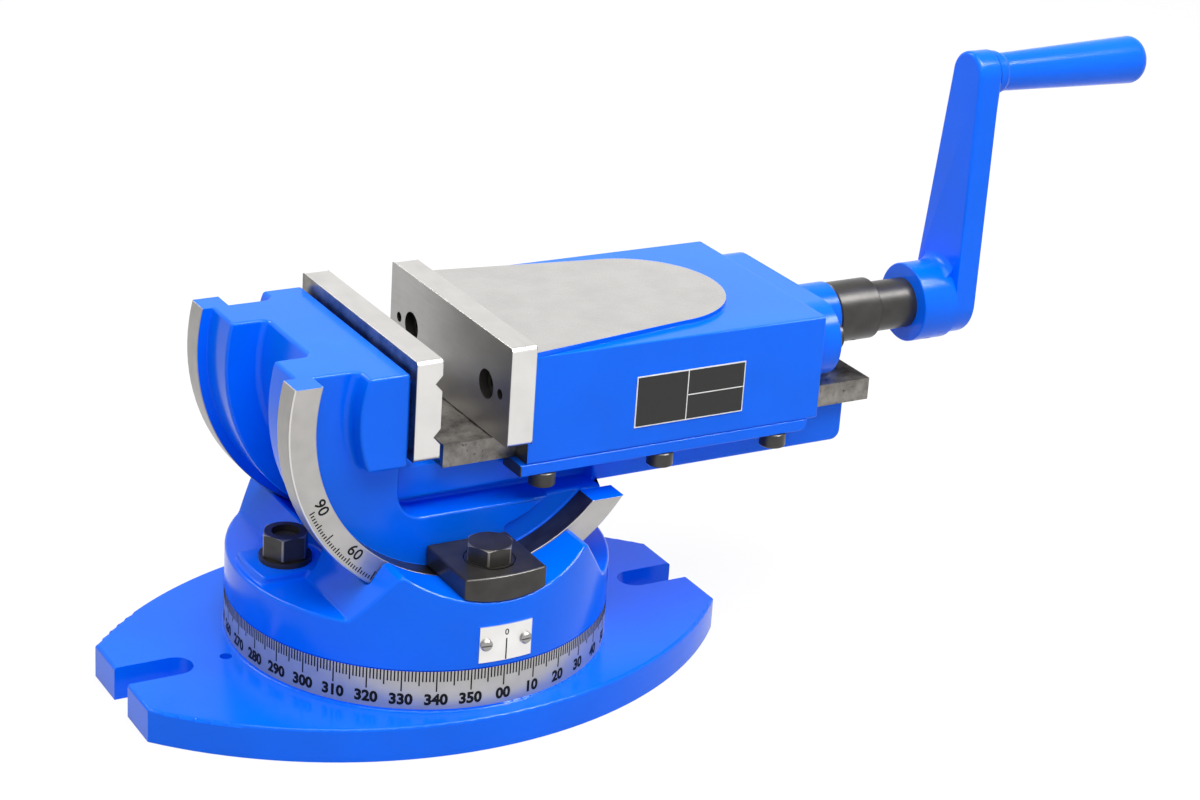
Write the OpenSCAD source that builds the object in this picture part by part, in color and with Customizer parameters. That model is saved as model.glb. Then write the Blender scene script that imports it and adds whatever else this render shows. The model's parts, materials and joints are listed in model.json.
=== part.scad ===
// Tilting and swivelling machine vise, 150 mm jaws.
// Millimetres. The origin is on the underside of the base, on the swivel axis.
// +X points to the crank, -Y to the operator, +Z up.

/* [Base] */
// Half of the base plate's length, measured along the bolt slots
base_half_len = 180; // [168:1:215]
// Width of the base plate beyond the scale ring on each side
base_rim = 10.5; // [7:0.5:18]
// Half of the flat at each end of the base plate
base_end_half_w = 41; // [34:1:50]
// Thickness of the base plate
base_thick = 20; // [16:1:26]
// Rounding of the base plate's upper edge
base_edge_r = 2; // [1:0.5:4]
// Width of the two table bolt slots
slot_w = 20.6; // [15:0.2:24]
// Length of each table bolt slot from the end of the base
slot_len = 42; // [32:1:48]
// Diameter of the zero mark hole beside the scale ring
mark_hole_d = 7; // [4:0.5:8]
// Distance of the zero mark hole from the scale ring
mark_hole_off = 7.5; // [6:0.5:10]
// Depth of the zero mark hole
mark_hole_deep = 8; // [4:1:12]

/* [Swivel ring] */
// Radius shared by the scale ring and the turntable
ring_r = 110.5; // [106:0.5:117]
// Height of the scale ring above the base plate
ring_h = 24.6; // [22:0.2:30]
// Fillet at the foot of the scale ring
ring_fillet = 1.5; // [0.5:0.5:3]
// Metal between the T-slot's undercut and the scale ring's face
tslot_wall = 13; // [10:0.5:18]
// Thickness of the lips over the T-slot
tslot_lip = 11.6; // [9:0.2:13]
// Room on each side of a T-bolt's head in the slot
tslot_room = 2.5; // [1:0.5:4]
// Room on each side of a stud between the lips of the slot
neck_room = 0.8; // [0.4:0.1:2]
// Diameter of the hole from below through which the T-bolts go in
access_d = 36; // [34.5:0.5:40]
// Diameter of the centre pin
pin_d = 30; // [22:1:40]
// Depth of the centre pin in the base
pin_deep = 30; // [20:1:34]
// Height of the centre pin in the turntable
pin_rise = 13.4; // [8:0.2:16]
// Rounding of small turned edges
turned_chamfer = 1; // [0.4:0.2:1.4]

/* [Swivel bolts] */
// Thread diameter of the swivel studs and the clamp bolts
stud_d = 16; // [12:0.5:18]
// Width of a T-bolt's square head
thead_w = 24; // [20:0.5:25]
// Height of a T-bolt's head
thead_h = 10; // [7:0.5:11]
// Width across the flats of nuts and bolt heads
hex_af = 24; // [22:0.5:26]
// Height of a swivel nut
nut_h = 14; // [10:0.5:18]
// Diameter of a washer under a swivel nut
washer_d = 30; // [28:0.5:34]
// Thickness of every washer
washer_t = 3; // [2:0.5:4]
// Depth of a stud's end below the top of its nut
stud_sink = 3.5; // [0:0.5:5]

/* [Turntable] */
// Height of the turntable's rim above the scale ring
table_h = 25.9; // [22:0.1:30]
// Metal under the rocker at the bottom of the trough
trough_floor = 22.6; // [20:0.2:28]
// Half of the saddle's width at its top
saddle_top_half = 58; // [54:1:64]
// Half of the saddle's width at the level of the rim
saddle_foot_half = 79; // [74:1:84]
// Half of the width of the pad under a swivel nut
pad_half_w = 19; // [17:0.5:24]
// Height of that pad above the turntable's rim
pad_h = 4.5; // [2:0.5:7]
// Distance of that pad from the edge of the rim
pad_inset = 4.5; // [2:0.5:7]
// Radius of the round spanner notch cut into the saddle around a stud
spanner_r = 22; // [20:0.5:25]
// Height of the shadow groove between the scale ring and the turntable
groove_h = 0.7; // [0.4:0.1:1.5]
// Depth of that groove
groove_deep = 2.5; // [1:0.5:4]
// Width of the index plate
index_w = 32; // [28:1:36]
// Height of the index plate
index_h = 21.6; // [18:0.2:23]
// Thickness of the index plate
index_t = 0.8; // [0.5:0.1:1.5]
// Height of the index plate's lower edge above the scale ring
index_lift = 3.8; // [2:0.2:5]
// Distance of each index screw from the zero line
index_screw_x = 12; // [9:0.5:13]
// Head diameter of an index screw
index_head_d = 7; // [5:0.5:7]
// Head height of an index screw
index_head_h = 1.8; // [1:0.2:3]
// Thread diameter of an index screw
index_screw_d = 4; // [3:0.5:4.5]
// Thread length of an index screw
index_screw_len = 9; // [6:1:14]

/* [Tilt clamps] */
// Half of a clamp's width along the bed
clamp_half_w = 25; // [22:1:30]
// Thickness of a clamp at its middle
clamp_t = 15.5; // [13:0.5:20]
// Distance of the clamp bolt from the turntable's edge
clamp_bolt_in = 24; // [21:0.5:26]
// Diameter of the recess for the clamp washer
clamp_recess_d = 29; // [28:0.5:31]
// Height of a clamp bolt's head
bolt_head_h = 10; // [8:0.5:12]
// Length of the clamp bolt's thread in the turntable
clamp_thread = 24; // [16:1:28]

/* [Rocker] */
// Outer radius of the rocker, which turns in the trough
rocker_r = 114.5; // [112:0.5:118]
// Radial thickness of the rocker's side flanges
rail_t = 15.7; // [14:0.1:18]
// Distance of the rocker's side faces from the turntable's edge
rocker_inset = 38.5; // [37:0.5:41]
// Width of each flange
flange_w = 15.5; // [13:0.5:18]
// Step from the flanges' outer face down to the casting between them
land_drop = 6.2; // [4:0.2:9]
// Half of the width of the cored groove between the lands
pocket_half = 29; // [24:1:36]
// Depth of the cored groove under the lands
pocket_deep = 20.3; // [12:0.5:24]
// How far the web stands out beside the inner face of a flange
web_proud = 1.8; // [1:0.1:4]
// Width of the relief along the rail at the crank side
relief_w = 14.5; // [8:0.5:18]
// Depth of that relief
relief_deep = 3.8; // [2:0.2:5]
// Outer radius of the fixed jaw casting about the tilt axis
block_r = 73.5; // [66:0.5:78]
// Distance of the window's end from the tilt axis
window_x = 42.5; // [38:0.5:43.5]
// Fillet at the end of the window
window_fillet = 16; // [8:1:20]
// Height of the rail's crank end below the top of the web
rail_end_drop = 1; // [0.5:0.5:4]
// Height of the fixed jaw casting's lower edge above the bed
block_foot_rise = 10.9; // [8:0.1:12.5]

/* [Bed] */
// Height of the tilt axis above the top of the bed
bed_drop = 39; // [34:0.5:42]
// Half of the bed's width
bed_half_w = 48; // [44:0.5:50]
// Thickness of the bed's edge
bed_t = 19; // [15:0.5:22]
// Half of the width of the neck under the bed
neck_half_w = 38; // [30:1:42]
// Height of the neck between the bed and the web
neck_h = 8; // [4:0.5:10]
// Thickness of the bed beyond the rocker
bed_tail_t = 28; // [24:0.5:32]
// Place where the thicker part of the bed starts
bed_tail_x = 85; // [76:1:88]
// Crank end of the bed
bed_end_x = 256; // [245:1:262]
// Rounding of the bed's lower crank end
bed_end_r = 6; // [4:1:12]
// Half of the slide plate's width
slide_half_w = 57; // [54:0.5:60]
// Thickness of the slide plate
slide_t = 13.5; // [11:0.5:16]
// Jaw end of the slide plate
slide_start_x = -16; // [-20:1:-10]
// Crank end of the slide plate
slide_end_x = 266.6; // [262:0.2:272]

/* [Jaws] */
// Half of the width of the jaw plates
plate_half_w = 75; // [72:0.5:80]
// Thickness of the jaw plates
plate_t = 15.6; // [13:0.2:18]
// Height of the jaw plates
plate_h = 58.4; // [54:0.2:62]
// Face of the fixed jaw plate
fixed_face_x = -27.3; // [-28:0.1:-24]
// Jaw opening as drawn
opening = 41.1; // [38:0.1:44]
// Height of the fixed jaw casting above the slide plate
block_h = 51.5; // [46:0.5:54]
// Height of the seat that carries a jaw plate off the casting
seat_t = 2; // [1:0.5:3]
// Margin between the edge of a jaw plate and its seat
seat_margin = 6; // [4:0.5:10]
// Mouth of the horizontal V-grooves in the fixed jaw plate
vee_mouth = 9; // [6:0.5:11]
// Depth of the V-grooves
vee_deep = 4; // [2:0.5:5]
// Distance of each V-groove from the middle of the plate
vee_z = 15.4; // [12:0.2:18]
// Sideways distance of the jaw plate screws from the middle
plate_screw_y = 47; // [40:0.5:50]
// Height of the jaw plate screws above the plate's lower edge
plate_screw_z = 27.9; // [24:0.1:32]
// Head height of the jaw plate screws
plate_head_h = 6; // [5:0.5:7]
// Depth of those heads below the plate's face
plate_head_sunk = 5; // [2:0.5:6]
// Sideways distance of the small locating holes
plate_hole_y = 63.3; // [61:0.1:66]
// Diameter of the small locating holes
plate_hole_d = 6; // [4:0.5:7]
// Depth of the small locating holes
plate_hole_deep = 8; // [4:1:11]

/* [Movable jaw] */
// Length of the movable jaw casting
jaw_len = 192.7; // [186:0.1:200]
// Half of the movable jaw casting's width
jaw_half_w = 70.2; // [68:0.2:73]
// Height of the movable jaw casting above the slide plate
jaw_h = 49.4; // [46:0.2:54]
// Height of the machined top face above the casting
tongue_h = 3; // [1.5:0.5:5]
// Length of the machined top face
tongue_len = 157.6; // [140:0.2:170]
// Radius of the rounded end of the machined top face
tongue_r = 54.2; // [48:0.2:58]
// Thickness of the wall behind the movable jaw plate
front_wall = 15.7; // [14:0.1:20]
// Thickness of the wall that carries the spindle
rear_wall = 14; // [11:0.5:18]
// Thickness of the roof of the movable jaw
roof_t = 9.9; // [7:0.1:12]
// Half of the width inside the movable jaw
cavity_half_w = 48; // [44:0.5:52]
// Sliding clearance of the movable jaw
slide_gap = 0.3; // [0.2:0.05:0.5]
// Thickness of the keeper plates under the slide plate
keeper_t = 6.9; // [5:0.1:9]
// Front end of the keepers ahead of the movable jaw casting
keeper_ahead = 3.9; // [0:0.1:6]
// Keepers' rear end, measured back from the rear of the casting
keeper_short = 7; // [4:0.5:12]
// Clearance between a keeper and the bed
keeper_room = 1; // [0.5:0.1:2]
// Rounding of the keepers' rear corner
keeper_r = 5; // [2:0.5:6]
// First keeper screw, measured from the front of the casting
keeper_screw_in = 13.6; // [10:0.2:20]
// Spacing of the three keeper screws
keeper_screw_pitch = 76.5; // [70:0.5:80]

/* [Spindle] */
// Height of the spindle above the slide plate
spindle_h = 20.2; // [20.2:0.1:24]
// Diameter of the trapezoidal thread and the journal
spindle_d = 24; // [20:0.5:24]
// Front end of the spindle, measured from the inside of the front wall
spindle_tip = 5; // [4:0.5:10]
// Half length of the spindle flange
flange_half_len = 65; // [60:0.5:68]
// Half height of the spindle flange
flange_half_h = 22.5; // [20:0.5:23]
// Height of the flange's middle above the spindle
flange_rise = 5.3; // [4.5:0.1:6]
// Thickness of the spindle flange
flange_t = 16; // [12:0.5:20]
// Length of the flange's boss
boss_len = 32.4; // [26:0.2:36]
// Diameter of the flange's boss
boss_d = 39.4; // [34:0.2:39.6]
// Sideways distance of the flange screws
flange_screw_y = 46; // [42:0.5:50]
// Diameter of the thrust collar
collar_d = 37.5; // [33:0.5:39]
// Length of the thrust collar
collar_len = 30; // [24:0.5:34]
// Diameter of the spindle's shoulder behind the collar
shoulder_d = 31; // [28:0.5:33]
// Length of that shoulder
shoulder_len = 27.5; // [22:0.5:34]
// Length of the inner collar
inner_collar_len = 10; // [8:0.5:10]
// Diameter of the inner collar and of the thrust washer
inner_collar_d = 38; // [34:0.5:39]
// Thickness of the thrust washer
thrust_t = 2; // [1:0.5:2]
// Jaw side of the spindle nut
spindle_nut_x = 115; // [114:0.5:120]
// Length of the spindle nut
spindle_nut_len = 37; // [30:0.5:37]
// Half of the spindle nut's width
spindle_nut_half_w = 29; // [27:0.5:34]
// Height of the spindle nut
spindle_nut_h = 35.5; // [34:0.5:37]
// Sideways distance of the spindle nut's screws
spindle_nut_screw_y = 21; // [19:0.5:22]

/* [Crank] */
// Throw of the crank
crank_throw = 145; // [130:1:150]
// Lean of the crank from upright, as drawn
crank_lean = 2.6; // [-20:0.2:20]
// Diameter of the crank's hub
hub_d = 49; // [44:0.5:54]
// Length of the hub in front of the arm
hub_len = 24; // [18:0.5:30]
// Thickness of the crank arm
arm_t = 16; // [12:0.5:20]
// Radius of the crank arm's wide end
arm_big_r = 22.4; // [20:0.2:26]
// Radius of the crank arm's narrow end
arm_small_r = 14.4; // [12:0.2:16]
// Fillet between the hub and the arm
hub_fillet = 6; // [3:0.5:8]
// Diameter of the spindle's end in the hub
crank_seat_d = 20; // [16:0.5:22]
// Diameter of the pin through the hub
hub_pin_d = 6; // [4:0.5:8]
// Height of the boss that carries the handle
handle_boss_h = 4; // [2:0.5:6]
// Length of the handle
handle_len = 111; // [100:1:125]
// Diameter of the handle at its neck
handle_neck_d = 23; // [20:0.5:25]
// Largest diameter of the handle
handle_d = 29.5; // [27:0.5:32]
// Diameter of the handle's axle
axle_d = 12; // [10:0.5:14]
// Thickness of the arm left closed behind the handle's axle
axle_wall = 4; // [3:0.5:6]
// Lean of the spindle's cross pins from upright, away from the operator, in degrees
pin_lean = 28; // [0:1:45]

/* [Cap screws] */
// Thread diameter of the large cap screws
cap_d = 10; // [8:0.5:11]
// Head diameter of the large cap screws
cap_head_d = 16; // [14:0.5:16.5]
// Head height of the large cap screws
cap_head_h = 10; // [7:0.5:10]
// Thread diameter of the keeper and slide plate screws
small_cap_d = 8; // [6:0.5:9]
// Head diameter of the keeper screws
small_cap_head_d = 15.5; // [12:0.5:16]
// Head height of the keeper screws
small_cap_head_h = 8.5; // [6:0.5:10]
// Thread length of the large cap screws
cap_len = 13; // [10:0.5:13]
// Thread length of the keeper and slide plate screws
small_cap_len = 18; // [12:1:20]

/* [Hidden] */
$fn = 96;
cut_over = 4;
fit_gap = 0.04;
hole_room = 0.5;
face_gap = 0.3;
blind_gap = 1;
half_share = 0.5;
saddle_drop_share = 0.83;
socket_af_share = 0.8;
socket_deep_share = 0.55;
tangent_share = 0.996;

paint_blue = "#0a5cf0";
steel = "#b9b9b7";
dark_steel = "#4a4742";
black_oxide = "#262421";
bronze = "#a8804a";

// Heights of the base and the turntable
ring_top = base_thick + ring_h;
undercut_top = ring_top - tslot_lip;
undercut_floor = undercut_top - thead_h - 2 * face_gap;
neck_half = stud_d / 2 + neck_room;
undercut_half = thead_w / 2 + tslot_room;
tslot_r = ring_r - tslot_wall - undercut_half;
rim_z = ring_top + table_h;
pad_z = rim_z + pad_h;
trough_r = rocker_r + face_gap;
tilt_z = ring_top + trough_floor + trough_r;
rail_r = rocker_r - rail_t;
clamp_r = rail_r - face_gap;
saddle_top = tilt_z - saddle_drop_share * rail_r;
flange_half_y = ring_r - rocker_inset;
trough_half_y = flange_half_y + face_gap;

// Base plan
base_half_w = ring_r + base_rim;
base_bow = base_half_w - base_end_half_w;
base_arc_r = (base_half_len * base_half_len + base_bow * base_bow) / (2 * base_bow);
slot_root = base_half_len - slot_len;

// Nuts, washers and studs
washer_z = pad_z;
nut_z = washer_z + washer_t;
stud_top = nut_z + nut_h - stud_sink;
stud_r = stud_d / 2;
thead_z = undercut_top - face_gap - thead_h;

// Clamps
clamp_bolt_y = ring_r - clamp_bolt_in;
clamp_top = tilt_z - clamp_r + clamp_t;
web_half_y = flange_half_y - flange_w + web_proud;
clamp_inner_y = web_half_y + 2 * face_gap;
clamp_foot = tilt_z - clamp_r;
clamp_bolt_end = clamp_foot - clamp_thread;

// Rocker
flange_in_y = flange_half_y - flange_w;
land_r = rocker_r - land_drop;
pocket_r = land_r - pocket_deep;
relief_r = rail_r - relief_w;
bed_top = tilt_z - bed_drop;
web_top = bed_top - bed_t - neck_h;
rail_end_z = web_top - rail_end_drop;
slide_top = bed_top + slide_t;
block_top = slide_top + block_h;
fixed_back_x = fixed_face_x - plate_t;
block_face_x = fixed_back_x - seat_t;
block_foot = bed_top + block_foot_rise;

// Jaw plates
plate_z = slide_top + face_gap;
moving_face_x = fixed_face_x + opening;
moving_back_x = moving_face_x + plate_t;
plate_counterbore = plate_head_h + plate_head_sunk;
plate_thread = cap_len - (plate_t - plate_counterbore);

// Movable jaw
jaw_x = moving_back_x;
jaw_end_x = jaw_x + jaw_len;
jaw_top = slide_top + jaw_h;
tongue_top = jaw_top + tongue_h;
jaw_foot = bed_top - slide_gap;
shoe_z = slide_top + slide_gap;
skirt_in_y = slide_half_w + slide_gap;
keeper_y = (skirt_in_y + jaw_half_w) / 2;
cavity_x = jaw_x + front_wall;
cavity_end_x = jaw_end_x - rear_wall;
cavity_top = jaw_top - roof_t;
keeper_z = jaw_foot - keeper_t;
keeper_in_y = bed_half_w + keeper_room;
keeper_end_x = jaw_end_x - keeper_short;

// Spindle
spindle_z = slide_top + spindle_h;
spindle_r = spindle_d / 2;
flange_x = jaw_end_x;
boss_x = flange_x + flange_t;
collar_x = boss_x + boss_len + face_gap;
shoulder_x = collar_x + collar_len;
crank_x = shoulder_x + shoulder_len;
arm_x = crank_x + hub_len;
arm_end_x = arm_x + arm_t;
thrust_x = cavity_end_x - thrust_t;
inner_collar_x = thrust_x - face_gap - inner_collar_len;
handle_x = arm_end_x + handle_boss_h + face_gap;
axle_reach = handle_len - handle_d / 2;
axle_start = axle_wall + face_gap;
collar_pin_x = collar_x + collar_len / 2;
hub_pin_x = crank_x + hub_len / 2;
inner_screw_x = inner_collar_x + inner_collar_len / 2;
inner_screw_d = small_cap_d * half_share;
pin_len_share = 0.9;
slide_screw_y = (spindle_nut_half_w + cavity_half_w) / 2;
slide_screw_head_r = small_cap_d;
slide_screw_first = spindle_nut_x - 2 * slide_screw_head_r - cut_over;
slide_screw_last = bed_end_x - 2 * slide_screw_head_r;
nut_screw_x = spindle_nut_x + spindle_nut_len / 2;
nut_screw_seat = bed_top - bed_tail_t + cap_head_h + blind_gap;
nut_screw_end = slide_top + spindle_nut_h * half_share;
nut_screw_deep = nut_screw_end - slide_top + blind_gap;

// Extrudes an outline drawn in X and Z between two places along Y
module along_y(y_from, y_to)
    translate([0, y_to, 0])
        rotate([90, 0, 0])
            linear_extrude(height = y_to - y_from)
                children();

// Extrudes an outline drawn in Y and Z between two places along X
module along_x(x_from, x_to)
    translate([x_from, 0, 0])
        rotate([90, 0, 90])
            linear_extrude(height = x_to - x_from)
                children();

// Stands a turned or extruded shape on an axis along X at the spindle's height
module on_spindle(x_from)
    translate([x_from, 0, spindle_z])
        rotate([0, 90, 0])
            children();

// Rectangle given by its corners
module corners(low_u, low_v, high_u, high_v)
    translate([low_u, low_v])
        square([high_u - low_u, high_v - low_v]);

// Repeats a shape on both sides of the plane Y = 0
module both_sides() {
    children();
    mirror([0, 1, 0])
        children();
}

// Repeats a shape on both sides of the plane X = 0
module both_ends() {
    children();
    mirror([1, 0, 0])
        children();
}

// Turned disc with a rounded upper edge
module round_edge_disc(radius, height, edge)
    rotate_extrude() {
        corners(0, 0, radius, height - edge);
        corners(0, 0, radius - edge, height);
        translate([radius - edge, height - edge])
            intersection() {
                circle(r = edge);
                square(edge);
            }
    }

// Turned pin with chamfered ends, standing on Z
module chamfered_pin(radius, height, chamfer)
    rotate_extrude()
        polygon([
            [0, 0], [radius - chamfer, 0], [radius, chamfer],
            [radius, height - chamfer], [radius - chamfer, height], [0, height]
        ]);

// Hexagon prism whose corners are turned off above, and below when asked for
module hexagon(flats, height, both = false) {
    corner_r = flats / (2 * cos(30));
    drop = (corner_r - flats / 2) * half_share;
    low = both ? drop : 0;
    low_r = both ? flats / 2 : corner_r;
    intersection() {
        cylinder(r = corner_r, h = height, $fn = 6);
        rotate_extrude()
            polygon([
                [0, 0], [low_r, 0], [corner_r, low],
                [corner_r, height - drop], [flats / 2, height], [0, height]
            ]);
    }
}

// Ring with a bore, standing on Z
module ring(outer_r, inner_r, height)
    difference() {
        cylinder(r = outer_r, h = height);
        translate([0, 0, -cut_over])
            cylinder(r = inner_r, h = height + 2 * cut_over);
    }

// Cap screw with its seat at Z = 0, its head above and its thread below
module cap_screw(thread_d, head_d, head_h, thread_len) {
    socket_r = thread_d * socket_af_share / (2 * cos(30));
    difference() {
        union() {
            chamfered_pin(head_d / 2, head_h, turned_chamfer * half_share);
            translate([0, 0, -thread_len])
                cylinder(r = thread_d / 2, h = thread_len + face_gap);
        }
        translate([0, 0, head_h * (1 - socket_deep_share)])
            cylinder(r = socket_r, h = head_h, $fn = 6);
    }
}

// Countersunk screw with its flat top at Z = 0
module countersunk_screw(thread_d, head_r, thread_len) {
    head_h = head_r - thread_d / 2;
    socket_r = thread_d * socket_af_share / (2 * cos(30));
    difference() {
        rotate_extrude()
            polygon([
                [0, 0], [head_r, 0], [thread_d / 2, -head_h],
                [thread_d / 2, -thread_len], [0, -thread_len]
            ]);
        translate([0, 0, -head_h])
            cylinder(r = socket_r, h = head_h + cut_over, $fn = 6);
    }
}

// Vertical hole for a countersunk screw whose top is at Z = 0
module countersunk_hole(thread_d, head_r, depth) {
    head_h = head_r - thread_d / 2;
    bore_r = thread_d / 2 + fit_gap;
    rotate_extrude()
        polygon([
            [0, cut_over], [head_r + fit_gap, cut_over], [head_r + fit_gap, 0],
            [bore_r, -head_h], [bore_r, -depth], [0, -depth]
        ]);
}

// Lens-shaped base plate with rounded upper edges, cut off flat at both ends
module base_outline() {
    arc_y = base_arc_r - base_half_w;
    intersection() {
        base_lens(arc_y);
        along_y(-base_half_w, base_half_w)
            rounded_top_bar();
    }
}

// What two large discs with rounded edges have in common
module base_lens(arc_y)
    intersection() {
        translate([0, arc_y, 0])
            round_edge_disc(base_arc_r, base_thick, base_edge_r);
        translate([0, -arc_y, 0])
            round_edge_disc(base_arc_r, base_thick, base_edge_r);
    }

// Side view of a bar whose upper ends are rounded
module rounded_top_bar() {
    inner = base_half_len - base_edge_r;
    corners(-base_half_len, 0, base_half_len, base_thick - base_edge_r);
    corners(-inner, 0, inner, base_thick);
    for (side = [-1, 1])
        translate([side * inner, base_thick - base_edge_r])
            circle(r = base_edge_r);
}

// Open slot at the crank end for a table bolt
module table_slot()
    translate([0, 0, -cut_over])
        linear_extrude(height = base_thick + 2 * cut_over) {
            translate([slot_root + slot_w / 2, 0])
                circle(d = slot_w);
            corners(slot_root + slot_w / 2, -slot_w / 2, base_half_len + cut_over, slot_w / 2);
        }

module circular_tslot()
    rotate_extrude() {
        corners(tslot_r - undercut_half, undercut_floor, tslot_r + undercut_half, undercut_top);
        corners(tslot_r - neck_half, undercut_floor, tslot_r + neck_half, ring_top + cut_over);
    }

module scale_ring()
    rotate_extrude()
        difference() {
            polygon([
                [0, 0], [ring_r + ring_fillet, 0], [ring_r + ring_fillet, base_thick],
                [ring_r + ring_fillet, base_thick + ring_fillet],
                [ring_r, base_thick + ring_fillet], [ring_r, ring_top], [0, ring_top]
            ]);
            translate([ring_r + ring_fillet, base_thick + ring_fillet])
                circle(r = ring_fillet);
        }

module base_plate()
    color(paint_blue)
        difference() {
            union() {
                base_outline();
                scale_ring();
            }
            both_ends()
                table_slot();
            circular_tslot();
            translate([0, tslot_r, -cut_over])
                cylinder(d = access_d, h = undercut_floor + cut_over + face_gap);
            translate([0, 0, ring_top - pin_deep])
                cylinder(r = pin_d / 2 + fit_gap, h = pin_deep + cut_over);
            translate([-ring_r - mark_hole_off, 0, base_thick - mark_hole_deep])
                cylinder(d = mark_hole_d, h = mark_hole_deep + cut_over);
        }

module pivot_pin()
    color(steel)
        translate([0, 0, ring_top - pin_deep])
            chamfered_pin(pin_d / 2, pin_deep + pin_rise, turned_chamfer);

// Saddle outline in X and Z: a trapezoid on the rim
module saddle_outline()
    polygon([
        [-saddle_foot_half, rim_z - face_gap], [-saddle_foot_half, rim_z],
        [-saddle_top_half, saddle_top], [saddle_top_half, saddle_top],
        [saddle_foot_half, rim_z], [saddle_foot_half, rim_z - face_gap]
    ]);

module stud_pad()
    intersection() {
        translate([0, -pad_half_w, rim_z - face_gap])
            cube([ring_r - pad_inset, 2 * pad_half_w, pad_h + face_gap]);
        cylinder(r = ring_r - pad_inset, h = pad_z + face_gap);
    }

module turntable_solid() {
    translate([0, 0, ring_top])
        cylinder(r = ring_r, h = table_h);
    intersection() {
        translate([0, 0, ring_top])
            cylinder(r = ring_r, h = saddle_top - ring_top + cut_over);
        along_y(-ring_r, ring_r)
            saddle_outline();
    }
    both_ends()
        stud_pad();
}

module rocker_trough() {
    along_y(-trough_half_y, trough_half_y)
        translate([0, tilt_z])
            circle(r = trough_r, $fn = 192);
    along_y(-ring_r - cut_over, ring_r + cut_over)
        translate([0, tilt_z])
            circle(r = clamp_r, $fn = 192);
}

module index_places()
    for (side = [-1, 1])
        rotate([0, 0, side * asin(index_screw_x / ring_r)])
            translate([0, -ring_r, ring_top + index_lift + index_h / 2])
                rotate([90, 0, 0])
                    children();

module shadow_groove()
    translate([0, 0, ring_top - cut_over])
        ring(ring_r + cut_over, ring_r - groove_deep, groove_h + cut_over);

module turntable()
    color(paint_blue)
        difference() {
            turntable_solid();
            rocker_trough();
            both_ends()
                translate([tslot_r, 0, pad_z])
                    cylinder(r = spanner_r, h = saddle_top);
            both_ends()
                translate([tslot_r, 0, ring_top - cut_over])
                    cylinder(r = stud_r + hole_room, h = saddle_top);
            translate([0, 0, ring_top - cut_over])
                cylinder(r = pin_d / 2 + fit_gap, h = pin_rise + blind_gap + cut_over);
            both_sides()
                translate([0, clamp_bolt_y, clamp_bolt_end - blind_gap])
                    cylinder(r = stud_r + fit_gap, h = clamp_thread + blind_gap + cut_over);
            index_places()
                translate([0, 0, -index_screw_len - blind_gap])
                    cylinder(d = index_screw_d + 2 * fit_gap, h = index_screw_len + blind_gap + cut_over);
            shadow_groove();
        }

module index_plate()
    color(steel)
        difference() {
            intersection() {
                translate([0, 0, ring_top + index_lift])
                    ring(ring_r + index_t, ring_r + fit_gap, index_h);
                translate([-index_w / 2, -ring_r - cut_over, 0])
                    cube([index_w, ring_r, rim_z]);
            }
            index_places()
                translate([0, 0, -cut_over])
                    cylinder(d = index_screw_d + 2 * fit_gap, h = 2 * cut_over);
        }

module index_screws()
    color(steel)
        index_places()
            difference() {
                union() {
                    translate([0, 0, -index_screw_len])
                        cylinder(d = index_screw_d, h = index_screw_len + index_t);
                    translate([0, 0, index_t])
                        chamfered_pin(index_head_d / 2, index_head_h, index_head_h * half_share);
                }
                translate([-index_head_d, -index_t / 2, index_t + index_head_h * half_share])
                    cube([2 * index_head_d, index_t, index_head_h]);
            }

module swivel_bolts()
    color(black_oxide)
        both_ends()
            translate([tslot_r, 0, thead_z]) {
                translate([-thead_w / 2, -thead_w / 2, 0])
                    cube([thead_w, thead_w, thead_h]);
                chamfered_pin(stud_r, stud_top - thead_z, turned_chamfer);
            }

module swivel_washers()
    color(black_oxide)
        both_ends()
            translate([tslot_r, 0, washer_z])
                ring(washer_d / 2, stud_r + hole_room, washer_t);

module swivel_nuts()
    color(black_oxide)
        both_ends()
            translate([tslot_r, 0, nut_z])
                difference() {
                    hexagon(hex_af, nut_h, true);
                    translate([0, 0, -cut_over])
                        cylinder(r = stud_r + fit_gap, h = nut_h + 2 * cut_over);
                }

// Clamp on the operator's side: flush with the turntable, hollowed to the rail
module clamp()
    difference() {
        intersection() {
            translate([-clamp_half_w, -ring_r, clamp_foot - cut_over])
                cube([2 * clamp_half_w, ring_r - clamp_inner_y, clamp_t + cut_over]);
            cylinder(r = ring_r, h = clamp_top + cut_over);
            along_y(-ring_r, 0)
                translate([0, tilt_z])
                    circle(r = clamp_r, $fn = 192);
        }
        translate([0, -clamp_bolt_y, clamp_foot - cut_over])
            cylinder(r = stud_r + hole_room, h = clamp_t + 2 * cut_over);
        translate([0, -clamp_bolt_y, clamp_top - washer_t])
            cylinder(d = clamp_recess_d, h = washer_t + cut_over);
    }

module clamp_front()
    color(black_oxide)
        clamp();

module clamp_rear()
    color(black_oxide)
        mirror([0, 1, 0])
            clamp();

module clamp_bolts()
    color(black_oxide)
        both_sides()
            translate([0, clamp_bolt_y, clamp_top]) {
                hexagon(hex_af, bolt_head_h);
                translate([0, 0, clamp_bolt_end - clamp_top])
                    cylinder(r = stud_r, h = clamp_top - clamp_bolt_end + face_gap);
            }

module clamp_washers()
    color(black_oxide)
        both_sides()
            translate([0, clamp_bolt_y, clamp_top - washer_t])
                ring(clamp_recess_d / 2 - hole_room, stud_r + hole_room, washer_t);

// Side view of everything below the jaws that the casting fills
module casting_region() {
    far = 2 * rocker_r;
    corners(-far, -far, -window_x, block_foot);
    corners(-far, -far, block_face_x, block_top);
    corners(-far, -far, far, web_top);
    difference() {
        corners(-window_x - cut_over, web_top - cut_over,
                -window_x + window_fillet, web_top + window_fillet);
        translate([-window_x + window_fillet, web_top + window_fillet])
            circle(r = window_fillet);
    }
}

module drum_outline(outer_r)
    intersection() {
        translate([0, tilt_z])
            circle(r = outer_r, $fn = 192);
        casting_region();
    }

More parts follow.
